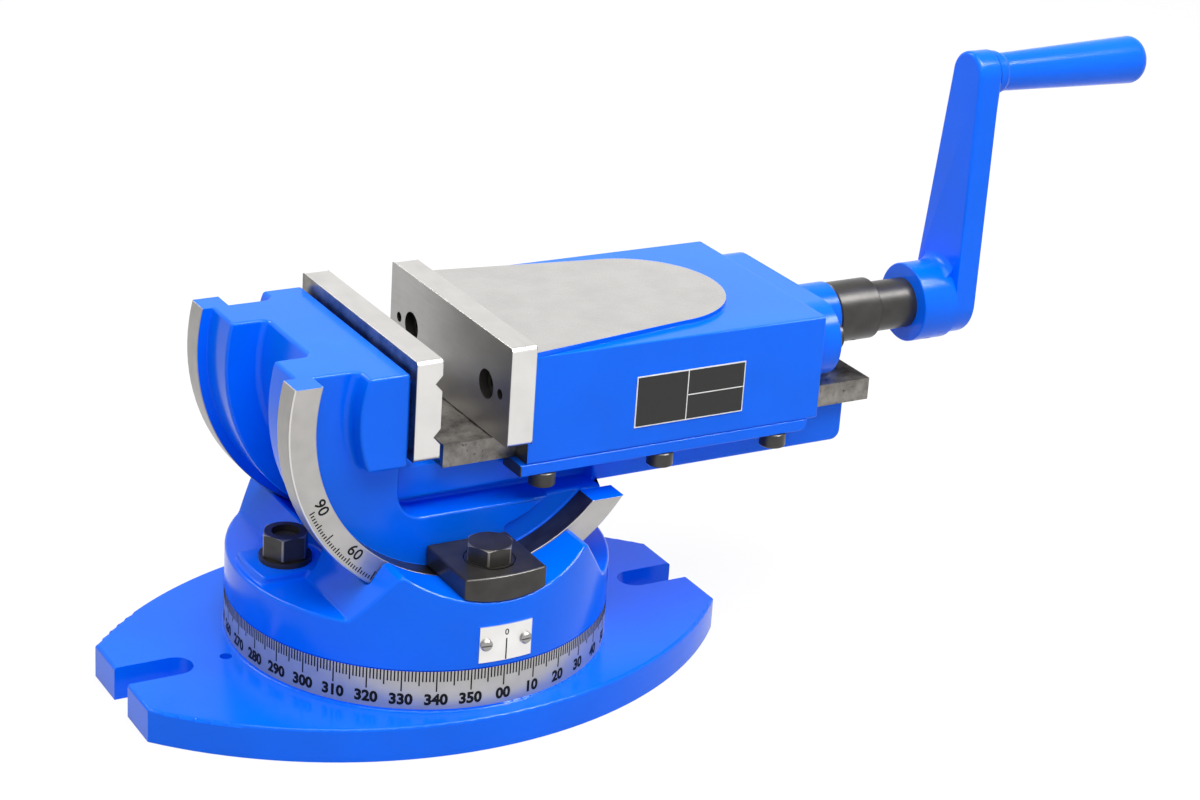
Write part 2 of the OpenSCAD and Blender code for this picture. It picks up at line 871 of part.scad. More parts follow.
module flange_outline()
    intersection() {
        difference() {
            translate([0, tilt_z])
                circle(r = rocker_r, $fn = 192);
            translate([0, tilt_z])
                circle(r = rail_r, $fn = 192);
        }
        union() {
            corners(-2 * rocker_r, 0, 0, block_top);
            corners(-cut_over, 0, 2 * rocker_r, rail_end_z);
        }
    }

module jaw_block_outline()
    intersection() {
        translate([0, tilt_z])
            circle(r = block_r, $fn = 192);
        corners(-2 * block_r, block_foot, block_face_x, block_top);
    }

module plate_seat(x_from, x_to)
    along_x(x_from, x_to)
        corners(-plate_half_w + seat_margin, plate_z + seat_margin,
                plate_half_w - seat_margin, block_top - seat_margin);

module bed_outline() {
    foot = bed_top - bed_tail_t;
    corners(-window_x - cut_over, bed_top - bed_t, bed_end_x, bed_top);
    corners(bed_tail_x, foot, bed_end_x - bed_end_r, bed_top);
    corners(bed_tail_x, foot + bed_end_r, bed_end_x, bed_top);
    translate([bed_end_x - bed_end_r, foot + bed_end_r])
        circle(r = bed_end_r);
}

module rail_relief()
    both_sides()
        along_y(web_half_y - relief_deep, web_half_y + face_gap)
            intersection() {
                difference() {
                    translate([0, tilt_z])
                        circle(r = rail_r, $fn = 192);
                    translate([0, tilt_z])
                        circle(r = relief_r, $fn = 192);
                }
                corners(clamp_half_w, 0, 2 * rocker_r, web_top + cut_over);
            }

module cored_groove()
    along_y(-pocket_half, pocket_half)
        difference() {
            translate([0, tilt_z])
                circle(r = rocker_r, $fn = 192);
            translate([0, tilt_z])
                circle(r = pocket_r, $fn = 192);
            corners(bed_tail_x - cut_over, web_top - bed_tail_t, 2 * rocker_r, 2 * tilt_z);
        }

module slide_screw_places()
    both_sides()
        for (place = [0 : 2])
            translate([
                slide_screw_first + place * (slide_screw_last - slide_screw_first) / 2,
                slide_screw_y, slide_top
            ])
                children();

module nut_screw_places()
    both_sides()
        translate([nut_screw_x, spindle_nut_screw_y, nut_screw_seat])
            rotate([180, 0, 0])
                children();

module plate_screw_places(face_x)
    both_sides()
        translate([face_x, plate_screw_y, plate_z + plate_screw_z])
            children();

module vise_body()
    color(paint_blue)
        difference() {
            union() {
                both_sides()
                    along_y(flange_in_y - face_gap, flange_half_y)
                        flange_outline();
                along_y(-flange_in_y, flange_in_y)
                    drum_outline(land_r);
                along_y(-web_half_y, web_half_y)
                    drum_outline(rail_r);
                along_y(-flange_half_y, flange_half_y)
                    jaw_block_outline();
                along_y(-bed_half_w, bed_half_w)
                    bed_outline();
                along_y(-neck_half_w, neck_half_w)
                    corners(-window_x - cut_over, web_top - cut_over, bed_tail_x + cut_over, bed_top);
                plate_seat(block_face_x - face_gap, fixed_back_x);
            }
            rail_relief();
            cored_groove();
            slide_screw_places()
                translate([0, 0, -small_cap_len - blind_gap])
                    cylinder(d = small_cap_d + 2 * fit_gap, h = small_cap_len + cut_over);
            nut_screw_places() {
                cylinder(d = cap_head_d + 2 * hole_room, h = bed_tail_t);
                translate([0, 0, -bed_tail_t])
                    cylinder(d = cap_d + 2 * hole_room, h = 2 * bed_tail_t);
            }
            plate_screw_places(fixed_back_x)
                rotate([0, 90, 0])
                    translate([0, 0, -plate_thread - blind_gap])
                        cylinder(d = cap_d + 2 * fit_gap, h = plate_thread + blind_gap + cut_over);
        }

// Jaw plate with its face at X = 0 and its back at negative X
module jaw_plate_blank()
    difference() {
        translate([-plate_t, -plate_half_w, plate_z])
            cube([plate_t, 2 * plate_half_w, plate_h]);
        plate_screw_places(0)
            rotate([0, 90, 0]) {
                translate([0, 0, -plate_counterbore])
                    cylinder(d = cap_head_d + 2 * hole_room, h = plate_counterbore + cut_over);
                translate([0, 0, -plate_t - cut_over])
                    cylinder(d = cap_d + 2 * hole_room, h = plate_t);
            }
        both_sides()
            translate([-plate_hole_deep, plate_hole_y, plate_z + plate_screw_z])
                rotate([0, 90, 0])
                    cylinder(d = plate_hole_d, h = plate_hole_deep + cut_over);
    }

module vee_groove(height_z)
    along_y(-plate_half_w - cut_over, plate_half_w + cut_over)
        translate([0, height_z])
            polygon([
                [-vee_deep, 0],
                [vee_deep, vee_mouth],
                [vee_deep, -vee_mouth]
            ]);

module fixed_jaw_plate()
    color(steel)
        translate([fixed_face_x, 0, 0])
            difference() {
                jaw_plate_blank();
                vee_groove(plate_z + plate_h / 2 - vee_z);
                vee_groove(plate_z + plate_h / 2 + vee_z);
            }

module plate_screws(face_x, turn)
    plate_screw_places(face_x)
        rotate([0, turn, 0])
            translate([0, 0, -plate_counterbore])
                cap_screw(cap_d, cap_head_d, plate_head_h, cap_len);

module fixed_jaw_screws()
    color(black_oxide)
        plate_screws(fixed_face_x, 90);

module slide_plate()
    color(dark_steel)
        difference() {
            translate([slide_start_x, -slide_half_w, bed_top])
                cube([slide_end_x - slide_start_x, 2 * slide_half_w, slide_t]);
            slide_screw_places()
                countersunk_hole(small_cap_d, slide_screw_head_r, slide_t + cut_over);
            nut_screw_places()
                translate([0, 0, -2 * bed_tail_t])
                    cylinder(d = cap_d + 2 * hole_room, h = 2 * bed_tail_t);
        }

module slide_plate_screws()
    color(black_oxide)
        slide_screw_places()
            countersunk_screw(small_cap_d, slide_screw_head_r, small_cap_len);

module spindle_nut()
    color(bronze)
        difference() {
            translate([spindle_nut_x, -spindle_nut_half_w, slide_top])
                cube([spindle_nut_len, 2 * spindle_nut_half_w, spindle_nut_h]);
            on_spindle(spindle_nut_x - cut_over)
                cylinder(r = spindle_r + fit_gap, h = spindle_nut_len + 2 * cut_over);
            both_sides()
                translate([nut_screw_x, spindle_nut_screw_y, slide_top - cut_over])
                    cylinder(d = cap_d + 2 * fit_gap, h = nut_screw_deep + cut_over);
        }

module spindle_nut_screws()
    color(black_oxide)
        nut_screw_places()
            cap_screw(cap_d, cap_head_d, cap_head_h, nut_screw_end - nut_screw_seat);

// Plan of the machined top face: a taper that runs into a round end
module tongue_outline() {
    centre_x = jaw_x + tongue_len - tongue_r;
    reach = norm([centre_x - jaw_x, jaw_half_w]);
    touch = atan2(jaw_half_w, jaw_x - centre_x) - acos(tongue_r / reach);
    touch_x = centre_x + tongue_r * tangent_share * cos(touch);
    touch_y = tongue_r * tangent_share * sin(touch);
    translate([centre_x, 0])
        circle(r = tongue_r, $fn = 144);
    polygon([
        [jaw_x, -jaw_half_w], [touch_x, -touch_y], [touch_x, touch_y], [jaw_x, jaw_half_w]
    ]);
}

module movable_jaw()
    color(paint_blue)
        difference() {
            union() {
                translate([jaw_x, -jaw_half_w, jaw_foot])
                    cube([jaw_len, 2 * jaw_half_w, jaw_top - jaw_foot]);
                translate([0, 0, jaw_top - face_gap])
                    linear_extrude(height = tongue_h + face_gap)
                        tongue_outline();
            }
            translate([jaw_x - cut_over, -skirt_in_y, jaw_foot - cut_over])
                cube([jaw_len + 2 * cut_over, 2 * skirt_in_y, shoe_z - jaw_foot + cut_over]);
            translate([cavity_x, -cavity_half_w, jaw_foot])
                cube([cavity_end_x - cavity_x, 2 * cavity_half_w, cavity_top - jaw_foot]);
            on_spindle(cavity_end_x - cut_over)
                cylinder(r = spindle_r + hole_room, h = rear_wall + 2 * cut_over);
            plate_screw_places(jaw_x)
                rotate([0, 90, 0])
                    translate([0, 0, -cut_over])
                        cylinder(d = cap_d + 2 * fit_gap, h = plate_thread + blind_gap + cut_over);
            keeper_screw_places()
                translate([0, 0, -cut_over])
                    cylinder(d = small_cap_d + 2 * fit_gap, h = small_cap_len + blind_gap);
            flange_screw_places()
                translate([0, 0, -flange_t - cap_len])
                    cylinder(d = cap_d + 2 * fit_gap, h = cap_len + cut_over);
        }

module movable_jaw_plate()
    color(steel)
        translate([moving_face_x, 0, 0])
            mirror([1, 0, 0])
                jaw_plate_blank();

module movable_jaw_screws()
    color(black_oxide)
        plate_screws(moving_face_x, -90);

// Places of the keeper screws, at the upper face of the keepers
module keeper_screw_places()
    both_sides()
        for (place = [0 : 2])
            translate([jaw_x + keeper_screw_in + place * keeper_screw_pitch, keeper_y, jaw_foot])
                children();

module keeper_outline() {
    corners(jaw_x - keeper_ahead, keeper_z, keeper_end_x - keeper_r, jaw_foot);
    corners(jaw_x - keeper_ahead, keeper_z + keeper_r, keeper_end_x, jaw_foot);
    intersection() {
        translate([keeper_end_x - keeper_r, keeper_z + keeper_r])
            circle(r = keeper_r);
        corners(jaw_x, keeper_z, keeper_end_x, jaw_foot);
    }
}

module keeper()
    difference() {
        along_y(-jaw_half_w, -keeper_in_y)
            keeper_outline();
        keeper_screw_places()
            translate([0, 0, -keeper_t - cut_over])
                cylinder(d = small_cap_d + 2 * hole_room, h = keeper_t + 2 * cut_over);
    }

module keeper_near()
    color(paint_blue)
        keeper();

module keeper_far()
    color(paint_blue)
        mirror([0, 1, 0])
            keeper();

module keeper_screws()
    color(black_oxide)
        keeper_screw_places()
            translate([0, 0, -keeper_t])
                rotate([180, 0, 0])
                    cap_screw(small_cap_d, small_cap_head_d, small_cap_head_h, small_cap_len);

module flange_screw_places()
    both_sides()
        translate([flange_x + flange_t, flange_screw_y, spindle_z + flange_rise])
            rotate([0, 90, 0])
                children();

module spindle_flange()
    color(paint_blue)
        difference() {
            union() {
                along_x(flange_x, boss_x) {
                    span = flange_half_len - flange_half_h;
                    translate([-span, spindle_z + flange_rise])
                        circle(r = flange_half_h);
                    translate([span, spindle_z + flange_rise])
                        circle(r = flange_half_h);
                    corners(-span, spindle_z + flange_rise - flange_half_h,
                            span, spindle_z + flange_rise + flange_half_h);
                }
                on_spindle(boss_x - face_gap)
                    chamfered_pin(boss_d / 2, boss_len + face_gap, turned_chamfer);
            }
            on_spindle(flange_x - cut_over)
                cylinder(r = spindle_r + fit_gap, h = flange_t + boss_len + 2 * cut_over);
            flange_screw_places()
                translate([0, 0, -flange_t - cut_over])
                    cylinder(d = cap_d + 2 * hole_room, h = flange_t + 2 * cut_over);
        }

module flange_screws()
    color(black_oxide)
        flange_screw_places()
            cap_screw(cap_d, cap_head_d, cap_head_h, flange_t + cap_len - blind_gap);

module thrust_washer()
    color(bronze)
        on_spindle(thrust_x)
            ring(inner_collar_d / 2, spindle_r + hole_room, thrust_t);

// Spindle: threaded length and journal, shoulder and seat of the crank
module lead_screw() {
    tip_x = cavity_x + spindle_tip;
    chamfer = 2 * turned_chamfer;
    seat_r = crank_seat_d / 2;
    color(black_oxide)
        difference() {
            on_spindle(tip_x)
                rotate_extrude()
                    polygon([
                        [0, 0], [spindle_r - chamfer, 0], [spindle_r, chamfer],
                        [spindle_r, shoulder_x - tip_x], [shoulder_d / 2, shoulder_x - tip_x],
                        [shoulder_d / 2, crank_x - tip_x], [seat_r, crank_x - tip_x],
                        [seat_r, arm_end_x - turned_chamfer - tip_x],
                        [seat_r - turned_chamfer, arm_end_x - tip_x], [0, arm_end_x - tip_x]
                    ]);
            pin_hole(collar_pin_x, hub_pin_d / 2 + fit_gap, collar_d);
            pin_hole(hub_pin_x, hub_pin_d / 2 + fit_gap, hub_d);
            translate([inner_screw_x, 0, spindle_z + spindle_r - 2 * turned_chamfer])
                cylinder(d = inner_screw_d + 2 * fit_gap, h = spindle_r);
        }
}

// Cross hole through the spindle and what is pinned to it
module pin_hole(x_place, radius, length)
    leaning_across(x_place, length)
        cylinder(r = radius, h = 2 * length);

module cross_pin(x_place, length)
    leaning_across(x_place, length / 2)
        chamfered_pin(hub_pin_d / 2, length, turned_chamfer * half_share);

// Frame across the spindle, this far below its axis, with Z leaning away from the operator
module leaning_across(x_place, below)
    translate([x_place, 0, spindle_z])
        rotate([-pin_lean, 0, 0])
            translate([0, 0, -below])
                children();

module thrust_collar()
    color(black_oxide)
        difference() {
            on_spindle(collar_x)
                difference() {
                    chamfered_pin(collar_d / 2, collar_len, turned_chamfer);
                    translate([0, 0, -cut_over])
                        cylinder(r = spindle_r + fit_gap, h = collar_len + 2 * cut_over);
                }
            pin_hole(collar_pin_x, hub_pin_d / 2 + fit_gap, collar_d);
        }

module collar_pin()
    color(steel)
        cross_pin(collar_pin_x, collar_d * pin_len_share);

module inner_collar()
    color(steel)
        difference() {
            on_spindle(inner_collar_x)
                ring(inner_collar_d / 2, spindle_r + fit_gap, inner_collar_len);
            translate([inner_screw_x, 0, spindle_z])
                cylinder(d = inner_screw_d + 2 * fit_gap, h = inner_collar_d);
        }

module inner_collar_screw()
    color(black_oxide)
        translate([inner_screw_x, 0, spindle_z + spindle_r - turned_chamfer])
            chamfered_pin(inner_screw_d / 2, inner_collar_d / 2 - spindle_r, turned_chamfer * half_share);

// Outline of the arm: two round ends joined by their common tangents
module arm_outline() {
    swing = acos((arm_big_r - arm_small_r) / crank_throw);
    big = arm_big_r * tangent_share;
    small = arm_small_r * tangent_share;
    circle(r = arm_big_r);
    translate([crank_throw, 0])
        circle(r = arm_small_r);
    polygon([
        [big * cos(swing), big * sin(swing)],
        [crank_throw + small * cos(swing), small * sin(swing)],
        [crank_throw + small * cos(swing), -small * sin(swing)],
        [big * cos(swing), -big * sin(swing)]
    ]);
}

// Places what is drawn about the hub with the arm pointing along the crank
module crank_frame(x_from)
    translate([x_from, 0, spindle_z])
        rotate([crank_lean, 0, 0])
            rotate([90, 0, 90])
                rotate([0, 0, 90])
                    children();

// Concave fillet that carries the hub into the arm, drawn as a half section
module hub_fillet_profile() {
    hub_r = hub_d / 2;
    difference() {
        corners(hub_r - hub_fillet, hub_len - hub_fillet, hub_r + hub_fillet, hub_len + face_gap);
        translate([hub_r + hub_fillet, hub_len - hub_fillet])
            circle(r = hub_fillet);
    }
}

module hub_profile() {
    hub_r = hub_d / 2;
    corners(0, turned_chamfer, hub_r, hub_len + face_gap);
    polygon([
        [0, 0], [hub_r - turned_chamfer, 0], [hub_r, turned_chamfer], [0, turned_chamfer]
    ]);
}

module crank_arm()
    color(paint_blue)
        difference() {
            crank_frame(crank_x) {
                rotate_extrude()
                    hub_profile();
                intersection() {
                    rotate_extrude()
                        hub_fillet_profile();
                    translate([0, -arm_small_r, 0])
                        cube([hub_d, 2 * arm_small_r, hub_len + arm_t]);
                }
                translate([0, 0, hub_len])
                    linear_extrude(height = arm_t)
                        arm_outline();
                translate([crank_throw, 0, hub_len + arm_t - face_gap])
                    cylinder(r = arm_small_r - turned_chamfer, h = handle_boss_h + face_gap);
            }
            on_spindle(crank_x - cut_over)
                cylinder(r = crank_seat_d / 2 + fit_gap, h = hub_len + arm_t + 2 * cut_over);
            pin_hole(hub_pin_x, hub_pin_d / 2 + fit_gap, hub_d);
            crank_frame(arm_x)
                translate([crank_throw, 0, axle_wall])
                    cylinder(r = axle_d / 2 + fit_gap, h = arm_t + handle_boss_h);
        }

module hub_pin()
    color(steel)
        cross_pin(hub_pin_x, hub_d * pin_len_share);

module handle_axle()
    color(steel)
        crank_frame(arm_x)
            translate([crank_throw, 0, axle_start])
                chamfered_pin(axle_d / 2, arm_t + handle_boss_h + axle_reach - axle_start, turned_chamfer);

// Half section of the handle, with its neck at the arm and a round end
module grip_profile() {
    end_r = handle_d / 2;
    round_r = end_r * half_share;
    neck_r = handle_neck_d / 2;
    rim_r = neck_r + turned_chamfer;
    polygon([
        [0, 0], [rim_r, 0], [rim_r, 2 * turned_chamfer], [neck_r, 4 * turned_chamfer],
        [end_r, handle_len - round_r], [0, handle_len - round_r]
    ]);
    translate([end_r - round_r, handle_len - round_r])
        intersection() {
            circle(r = round_r);
            square(round_r);
        }
    corners(0, handle_len - round_r - face_gap, end_r - round_r, handle_len);
}

module handle_grip()
    color(paint_blue)
        crank_frame(handle_x)
            translate([crank_throw, 0, 0])
                rotate_extrude()
                    difference() {
                        grip_profile();
                        corners(-cut_over, -cut_over, axle_d / 2 + fit_gap, axle_reach + blind_gap);
                    }

base_plate();
pivot_pin();
turntable();
index_plate();
index_screws();
swivel_bolts();
swivel_washers();
swivel_nuts();
clamp_front();
clamp_rear();
clamp_bolts();
clamp_washers();
vise_body();
fixed_jaw_plate();
fixed_jaw_screws();
slide_plate();
slide_plate_screws();
spindle_nut();
spindle_nut_screws();
movable_jaw();
movable_jaw_plate();
movable_jaw_screws();
keeper_near();
keeper_far();
keeper_screws();
spindle_flange();
flange_screws();
thrust_washer();
lead_screw();
thrust_collar();
collar_pin();
inner_collar();
inner_collar_screw();
crank_arm();
hub_pin();
handle_axle();
handle_grip();
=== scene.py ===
"""Looks of a tilting, swivelling machine vise: enamelled castings, bright and blackened steel, scales.

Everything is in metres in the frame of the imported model: the origin is on the underside of the base on the
swivel axis, +X points to the crank, -Y to the operator and +Z up. Sizes typed in millimetres go through mm().
"""

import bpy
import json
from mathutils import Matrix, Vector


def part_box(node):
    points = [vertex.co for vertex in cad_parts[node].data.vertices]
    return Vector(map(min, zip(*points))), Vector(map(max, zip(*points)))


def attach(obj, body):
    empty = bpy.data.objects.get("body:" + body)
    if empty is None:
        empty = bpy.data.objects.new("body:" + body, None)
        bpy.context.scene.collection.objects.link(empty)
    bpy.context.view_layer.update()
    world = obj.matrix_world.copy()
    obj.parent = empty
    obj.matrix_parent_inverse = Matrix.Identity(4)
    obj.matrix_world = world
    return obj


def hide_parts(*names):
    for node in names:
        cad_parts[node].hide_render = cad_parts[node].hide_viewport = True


bl_info = {
    "name": "Tilting machine vise",
    "version": (1, 0, 0),
    "blender": (4, 5, 0),
    "location": "3D View > Sidebar > Vise",
    "description": "Dresses the castings, jaws, fasteners and scales of a tilting machine vise",
    "category": "Object",
}

import json
import math
from contextlib import contextmanager

import bpy
import bmesh
from bpy.props import FloatProperty, FloatVectorProperty, PointerProperty
from mathutils import Matrix, Vector

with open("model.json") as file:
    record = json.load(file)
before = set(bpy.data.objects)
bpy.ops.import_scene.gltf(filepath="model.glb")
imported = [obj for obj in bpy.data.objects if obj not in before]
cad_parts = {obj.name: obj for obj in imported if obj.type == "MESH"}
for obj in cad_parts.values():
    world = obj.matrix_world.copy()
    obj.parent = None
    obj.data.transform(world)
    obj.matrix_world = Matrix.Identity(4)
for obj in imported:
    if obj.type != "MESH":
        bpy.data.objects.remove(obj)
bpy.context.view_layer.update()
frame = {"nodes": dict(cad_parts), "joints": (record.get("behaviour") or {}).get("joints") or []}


def mm(value):
    """Millimetres to metres."""
    return value / 1000


def linear_colour(hex_text):
    """An sRGB hex colour as the linear RGBA that shaders take."""
    channels = [int(hex_text[i:i + 2], 16) / 255 for i in (1, 3, 5)]
    return tuple(c / 12.92 if c <= 0.04045 else ((c + 0.055) / 1.055) ** 2.4 for c in channels) + (1.0,)


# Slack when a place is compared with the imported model's
TOUCH = mm(0.2)
NEAR = mm(0.5)
MERGE_DISTANCE = mm(0.002)

# How much of a normal lies along an axis where a face looks that way, and where it is slanted
ALONG = 0.9
SLANTED = 0.3

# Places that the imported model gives
TABLE_LOW, TABLE_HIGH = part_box("turntable")
BODY_LOW, BODY_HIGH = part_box("vise_body")
JAW_LOW, JAW_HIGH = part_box("movable_jaw")
INDEX_LOW, INDEX_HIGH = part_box("index_plate")
ARM_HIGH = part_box("crank_arm")[1]
JOINTS = {joint["name"]: Vector(joint["pos_m"]) for joint in frame["joints"] if "pos_m" in joint}
TILT_AXIS = JOINTS["tilt"]
SPINDLE_AXIS = JOINTS["crank_turn"]
HANDLE_AXIS = JOINTS["handle_spin"]

# Scale ring and turntable: the band begins above a fillet, the cast edges above the drum
RING_R = TABLE_HIGH.y
RING_TOP = TABLE_LOW.z
BAND_FOOT = mm(21.4)
DRUM_TOP = RING_TOP + mm(20)
TABLE_BORES_R = mm(40)

# Body: the flanges with their rim and rails, and where the wide fillets end on the crank's side
ROCKER_R = TILT_AXIS.z - BODY_LOW.z
RAIL_R = ROCKER_R - mm(15.7)
RAIL_CORNER_R = ROCKER_R - mm(17)
RIM_ROUNDING = mm(2.2)
FLANGE_Y = -BODY_LOW.y
FLANGE_INNER_Y = FLANGE_Y - mm(16)
FILLET_END_X = -mm(44)

# Body edges that stay sharp: in the bed under the slide plate, and in the fixed jaw plate's seat
BED_INSIDE_Y, BED_INSIDE_Z = mm(47), TILT_AXIS.z - mm(60)
SEAT_FRONT_X, SEAT_BACK_X, SEAT_FOOT_Z = -mm(47), -mm(30), BODY_HIGH.z - mm(56)

# Movable jaw: how far its machined top stands out
TOP_STEP = mm(3)

# Crank arm: its two faces, and how far its rounded edges keep from its bores and bosses
ARM_OUTER_X = ARM_HIGH.x - mm(4)
ARM_INNER_X = ARM_OUTER_X - mm(16)
HUB_BORE_R, HUB_TOP = mm(18), SPINDLE_AXIS.z + mm(34)
AXLE_BORE_R, BOSS_BORE_R, BOSS_R = mm(9), mm(12), mm(19)

# Small parts
PLATE_EDGE, PLATE_RIM = mm(1), mm(4)
CLAMP_BORE_R = mm(16)
KEEPER_END = mm(1.2)
HEX_HALF_FLATS = mm(12)
HEX_EDGE = mm(3)

# Engraving: the digits' widths as shares of the font's own, their weights, and sizes in font units
RING_DIGITS = {"squeeze": 0.98, "weight": 0.045}
TILT_DIGITS = {"squeeze": 1.05, "weight": 0.015}
INDEX_DIGITS = {"squeeze": 0.98, "weight": 0.015}
FONT_CURVE_STEPS = 3
FONT_EXTRUDE = 0.05
FONT_MERGE = 0.0005
TILT_ARC = 60
TILT_WORDS = ("90", "60", "30", "0")
INDEX_LINE_GAP = mm(0.3)
INDEX_DIGIT_DROP = mm(0.4)

# Name plate: how deep it sits in the casting, and how its pale lines lie on it
PLATE_SUNK = mm(0.2)
PLATE_LINE_PROUD = mm(0.04)
PLATE_LINE_DEPTH = mm(0.1)

# Camera as fitted to the photograph: place, yaw, pitch and roll in radians, sensor and clipping
CAMERA_PLACE = Vector((mm(-653.9), mm(-1281.6), mm(749.9)))
CAMERA_ANGLES = 0.5407, -0.3862, 0.0689
SENSOR_WIDTH_MM = 36
CLIP_START, CLIP_END = 0.05, 20

# Lamps: name, place, diameter, whose power and what share of it, shown by diffuse and by glossy surfaces
LAMP_TARGET = Vector((mm(60), 0, mm(140)))
LAMPS = (
    ("key_lamp", (0.05, -0.55, 1.8), 2.0, "lamp", 1, True, True),
    ("fill_lamp", (-1.5, 0.2, 0.8), 1.0, "lamp", 1 / 60, True, True),
    ("back_lamp", (0.9, 1.1, 1.3), 1.0, "lamp", 1 / 4, True, False),
    ("glint_lamp", (0.95, -0.7, 1.7), 0.8, "glint", 1, False, True),
    ("back_glint_lamp", (-0.57, 1.26, 1.55), 0.8, "glint", 1 / 3, False, True),
)

# Surroundings: how far up a direction points and the tone there, and the floor
STUDIO_TONES = ((0.30, 1.0), (0.62, 0.62), (1.0, 0.5))
FLOOR_SIZE = 12
FLOOR_DROP = mm(0.2)
PAPER_TONE = 0.5


def length(name, description, default):
    """A length in millimetres, kept in metres with Blender's length unit."""
    return FloatProperty(
        name=name, description=description, default=mm(default), unit="LENGTH", subtype="DISTANCE"
    )


def tint(name, description, hex_text):
    """A colour kept as linear RGBA."""
    default = linear_colour(hex_text)
    return FloatVectorProperty(
        name=name, description=description, default=default, size=4, min=0, max=1, subtype="COLOR"
    )


class ViseEdgeSizes(bpy.types.PropertyGroup):
    """Edge roundings of the pieces."""

    fillet: length("Casting fillet", "Rounding in the inner corners of the body casting", 4.0)
    casting: length("Casting edge", "Rounding of the sand-cast edges under the paint", 1.8)
    jaw: length("Jaw edge", "Rounding of the movable jaw's outer edges", 1.4)
    arm: length("Crank arm edge", "Rounding of the forged crank arm", 2.6)
    plate: length("Jaw plate edge", "Broken edge of the ground jaw plates", 0.5)
    plate_corner: length("Jaw plate corner", "Rounding of the jaw plates' corners along X", 3.0)
    clamp: length("Clamp edge", "Rounding of the milled clamps", 1.5)
    keeper: length("Keeper edge", "Rounding of the keeper strips under the jaw", 0.7)
    hex: length("Hexagon edge", "Rounding of the bolt heads' and nuts' corners", 0.8)


class ViseScaleSizes(bpy.types.PropertyGroup):
    """Sizes of the engraved scales."""

    line_width: length("Line width", "Width of a line of the swivel scale", 0.8)
    tilt_width: length("Tilt line width", "Width of a line of the tilt scale", 0.78)
    line_proud: length("Ink height", "Height of the ink above the metal", 0.05)
    degree_tick: length("Degree line", "Length of a one degree line", 6.2)
    five_tick: length("Five degree line", "Length of a five degree line", 8.7)
    ten_tick: length("Ten degree line", "Length of a ten degree line", 12.2)
    digit_height: length("Digit height", "Height of the digits on the swivel scale", 7.1)
    digit_drop: length("Digit drop", "Digits' middle below the ring's upper edge", 17.0)
    tilt_inset: length("Tilt scale inset", "Gap between the tilt lines and the rocker's rim", 2.6)
    tilt_tick: length("Tilt line", "Length of a short line on the tilt scale", 2.2)
    tilt_five: length("Tilt five line", "Length of a fifth line on the tilt scale", 3.4)
    tilt_ten: length("Tilt ten line", "Length of a long line on the tilt scale", 5.5)
    tilt_digit: length("Tilt digit height", "Height of the digits on the tilt scale", 6.8)
    tilt_digit_drop: length("Tilt digit place", "Digits' middle above the lines' foot", 7.9)
    tilt_start: FloatProperty(
        name="Tilt start", description="Angle of the 90 line from straight down", default=math.radians(-65.4),
        unit="ROTATION", subtype="ANGLE",
    )
    index_digit: length("Index digit", "Height of the digit on the index plate", 3.8)
    index_line_drop: length("Index line drop", "Gap between the plate's top and the zero line", 8.5)


class VisePlateSizes(bpy.types.PropertyGroup):
    """Sizes of the bare name plate."""

    from_front: length("From the front", "Distance from the casting's front to the plate", 67.3)
    from_foot: length("From the foot", "Distance from the casting's foot to the plate", 12.3)
    width: length("Width", "Width of the plate", 71.6)
    height: length("Height", "Height of the plate", 30.8)
    thickness: length("Thickness", "How far the plate stands out of the casting", 0.5)
    line: length("Line", "Width of the pale border and of the lines between the fields", 0.6)
    split_across: FloatProperty(
        name="Split", description="Share of the width left of the upright line", default=0.47,
        min=0.1, max=0.9, subtype="FACTOR",
    )


class ViseColours(bpy.types.PropertyGroup):
    """Colours of the finishes."""

    enamel: tint("Enamel", "Blue enamel of the castings", "#006CFF")
    ground: tint("Ground steel", "Surface-ground steel", "#E2E0DD")
    turned: tint("Turned band", "Turned steel of the scale ring", "#DAD7D3")
    blackened: tint("Black oxide", "Blackened steel of nuts, bolts and clamps", "#3E3C3A")
    # Painted highlight: a pale black oxide on the hexagons' chamfers and rounded corners
    worn: tint("Worn black", "Black oxide rubbed thin on edges and chamfers", "#85817D")
    # Partly painted shade: the rails' oiled steel is made dark to stand in for their shade
    rail: tint("Rail", "Oiled rails that the clamps hold", "#5A5551")
    way: tint("Slide way", "Oiled steel of the slide plate", "#8C8883")
    bronze: tint("Bronze", "Nut and thrust washer", "#C79A5B")
    ink: tint("Ink", "Filling of the engraved lines", "#0C0C0C")
    plate: tint("Name plate", "Black lacquer of the name plate", "#121110")
    border: tint("Name plate lines", "Pale lines of the name plate", "#F1F1EE")


class ViseStage(bpy.types.PropertyGroup):
    """Camera and light."""

    focal: FloatProperty(
        name="Focal length", description="Lens on a 36 mm sensor", default=82.52, unit="CAMERA"
    )
    lamp: FloatProperty(name="Lamp power", description="Power of the key lamp", default=42.0, unit="POWER")
    glint: FloatProperty(
        name="Glint power", description="Power of the lamps that only glossy edges show", default=45.0,
        unit="POWER",
    )
    world: FloatProperty(name="World strength", description="Plain light from all around", default=0.46)
    floor_glow: FloatProperty(
        name="Floor glow", description="Share of the floor that shows pure white", default=0.8,
        min=0, max=1, subtype="FACTOR",
    )
    floor_white: FloatProperty(name="Floor white", description="Strength of the white share", default=1.13)


# Node materials

MATERIALS = {}


def add_node(tree, kind, inputs=None, **settings):
    """Adds a node with its settings, and fills its inputs with values, sockets or nodes' first outputs."""
    node = tree.nodes.new(kind)
    for key, value in settings.items():
        setattr(node, key, value)
    for key, value in (inputs or {}).items():
        if isinstance(value, bpy.types.Node):
            value = value.outputs[0]
        if isinstance(value, bpy.types.NodeSocket):
            tree.links.new(value, node.inputs[key])
        else:
            node.inputs[key].default_value = value
    return node


def new_material(name):
    """An empty node material and its tree."""
    material = bpy.data.materials.new(name)
    material.use_nodes = True
    material.node_tree.nodes.clear()
    return material, material.node_tree


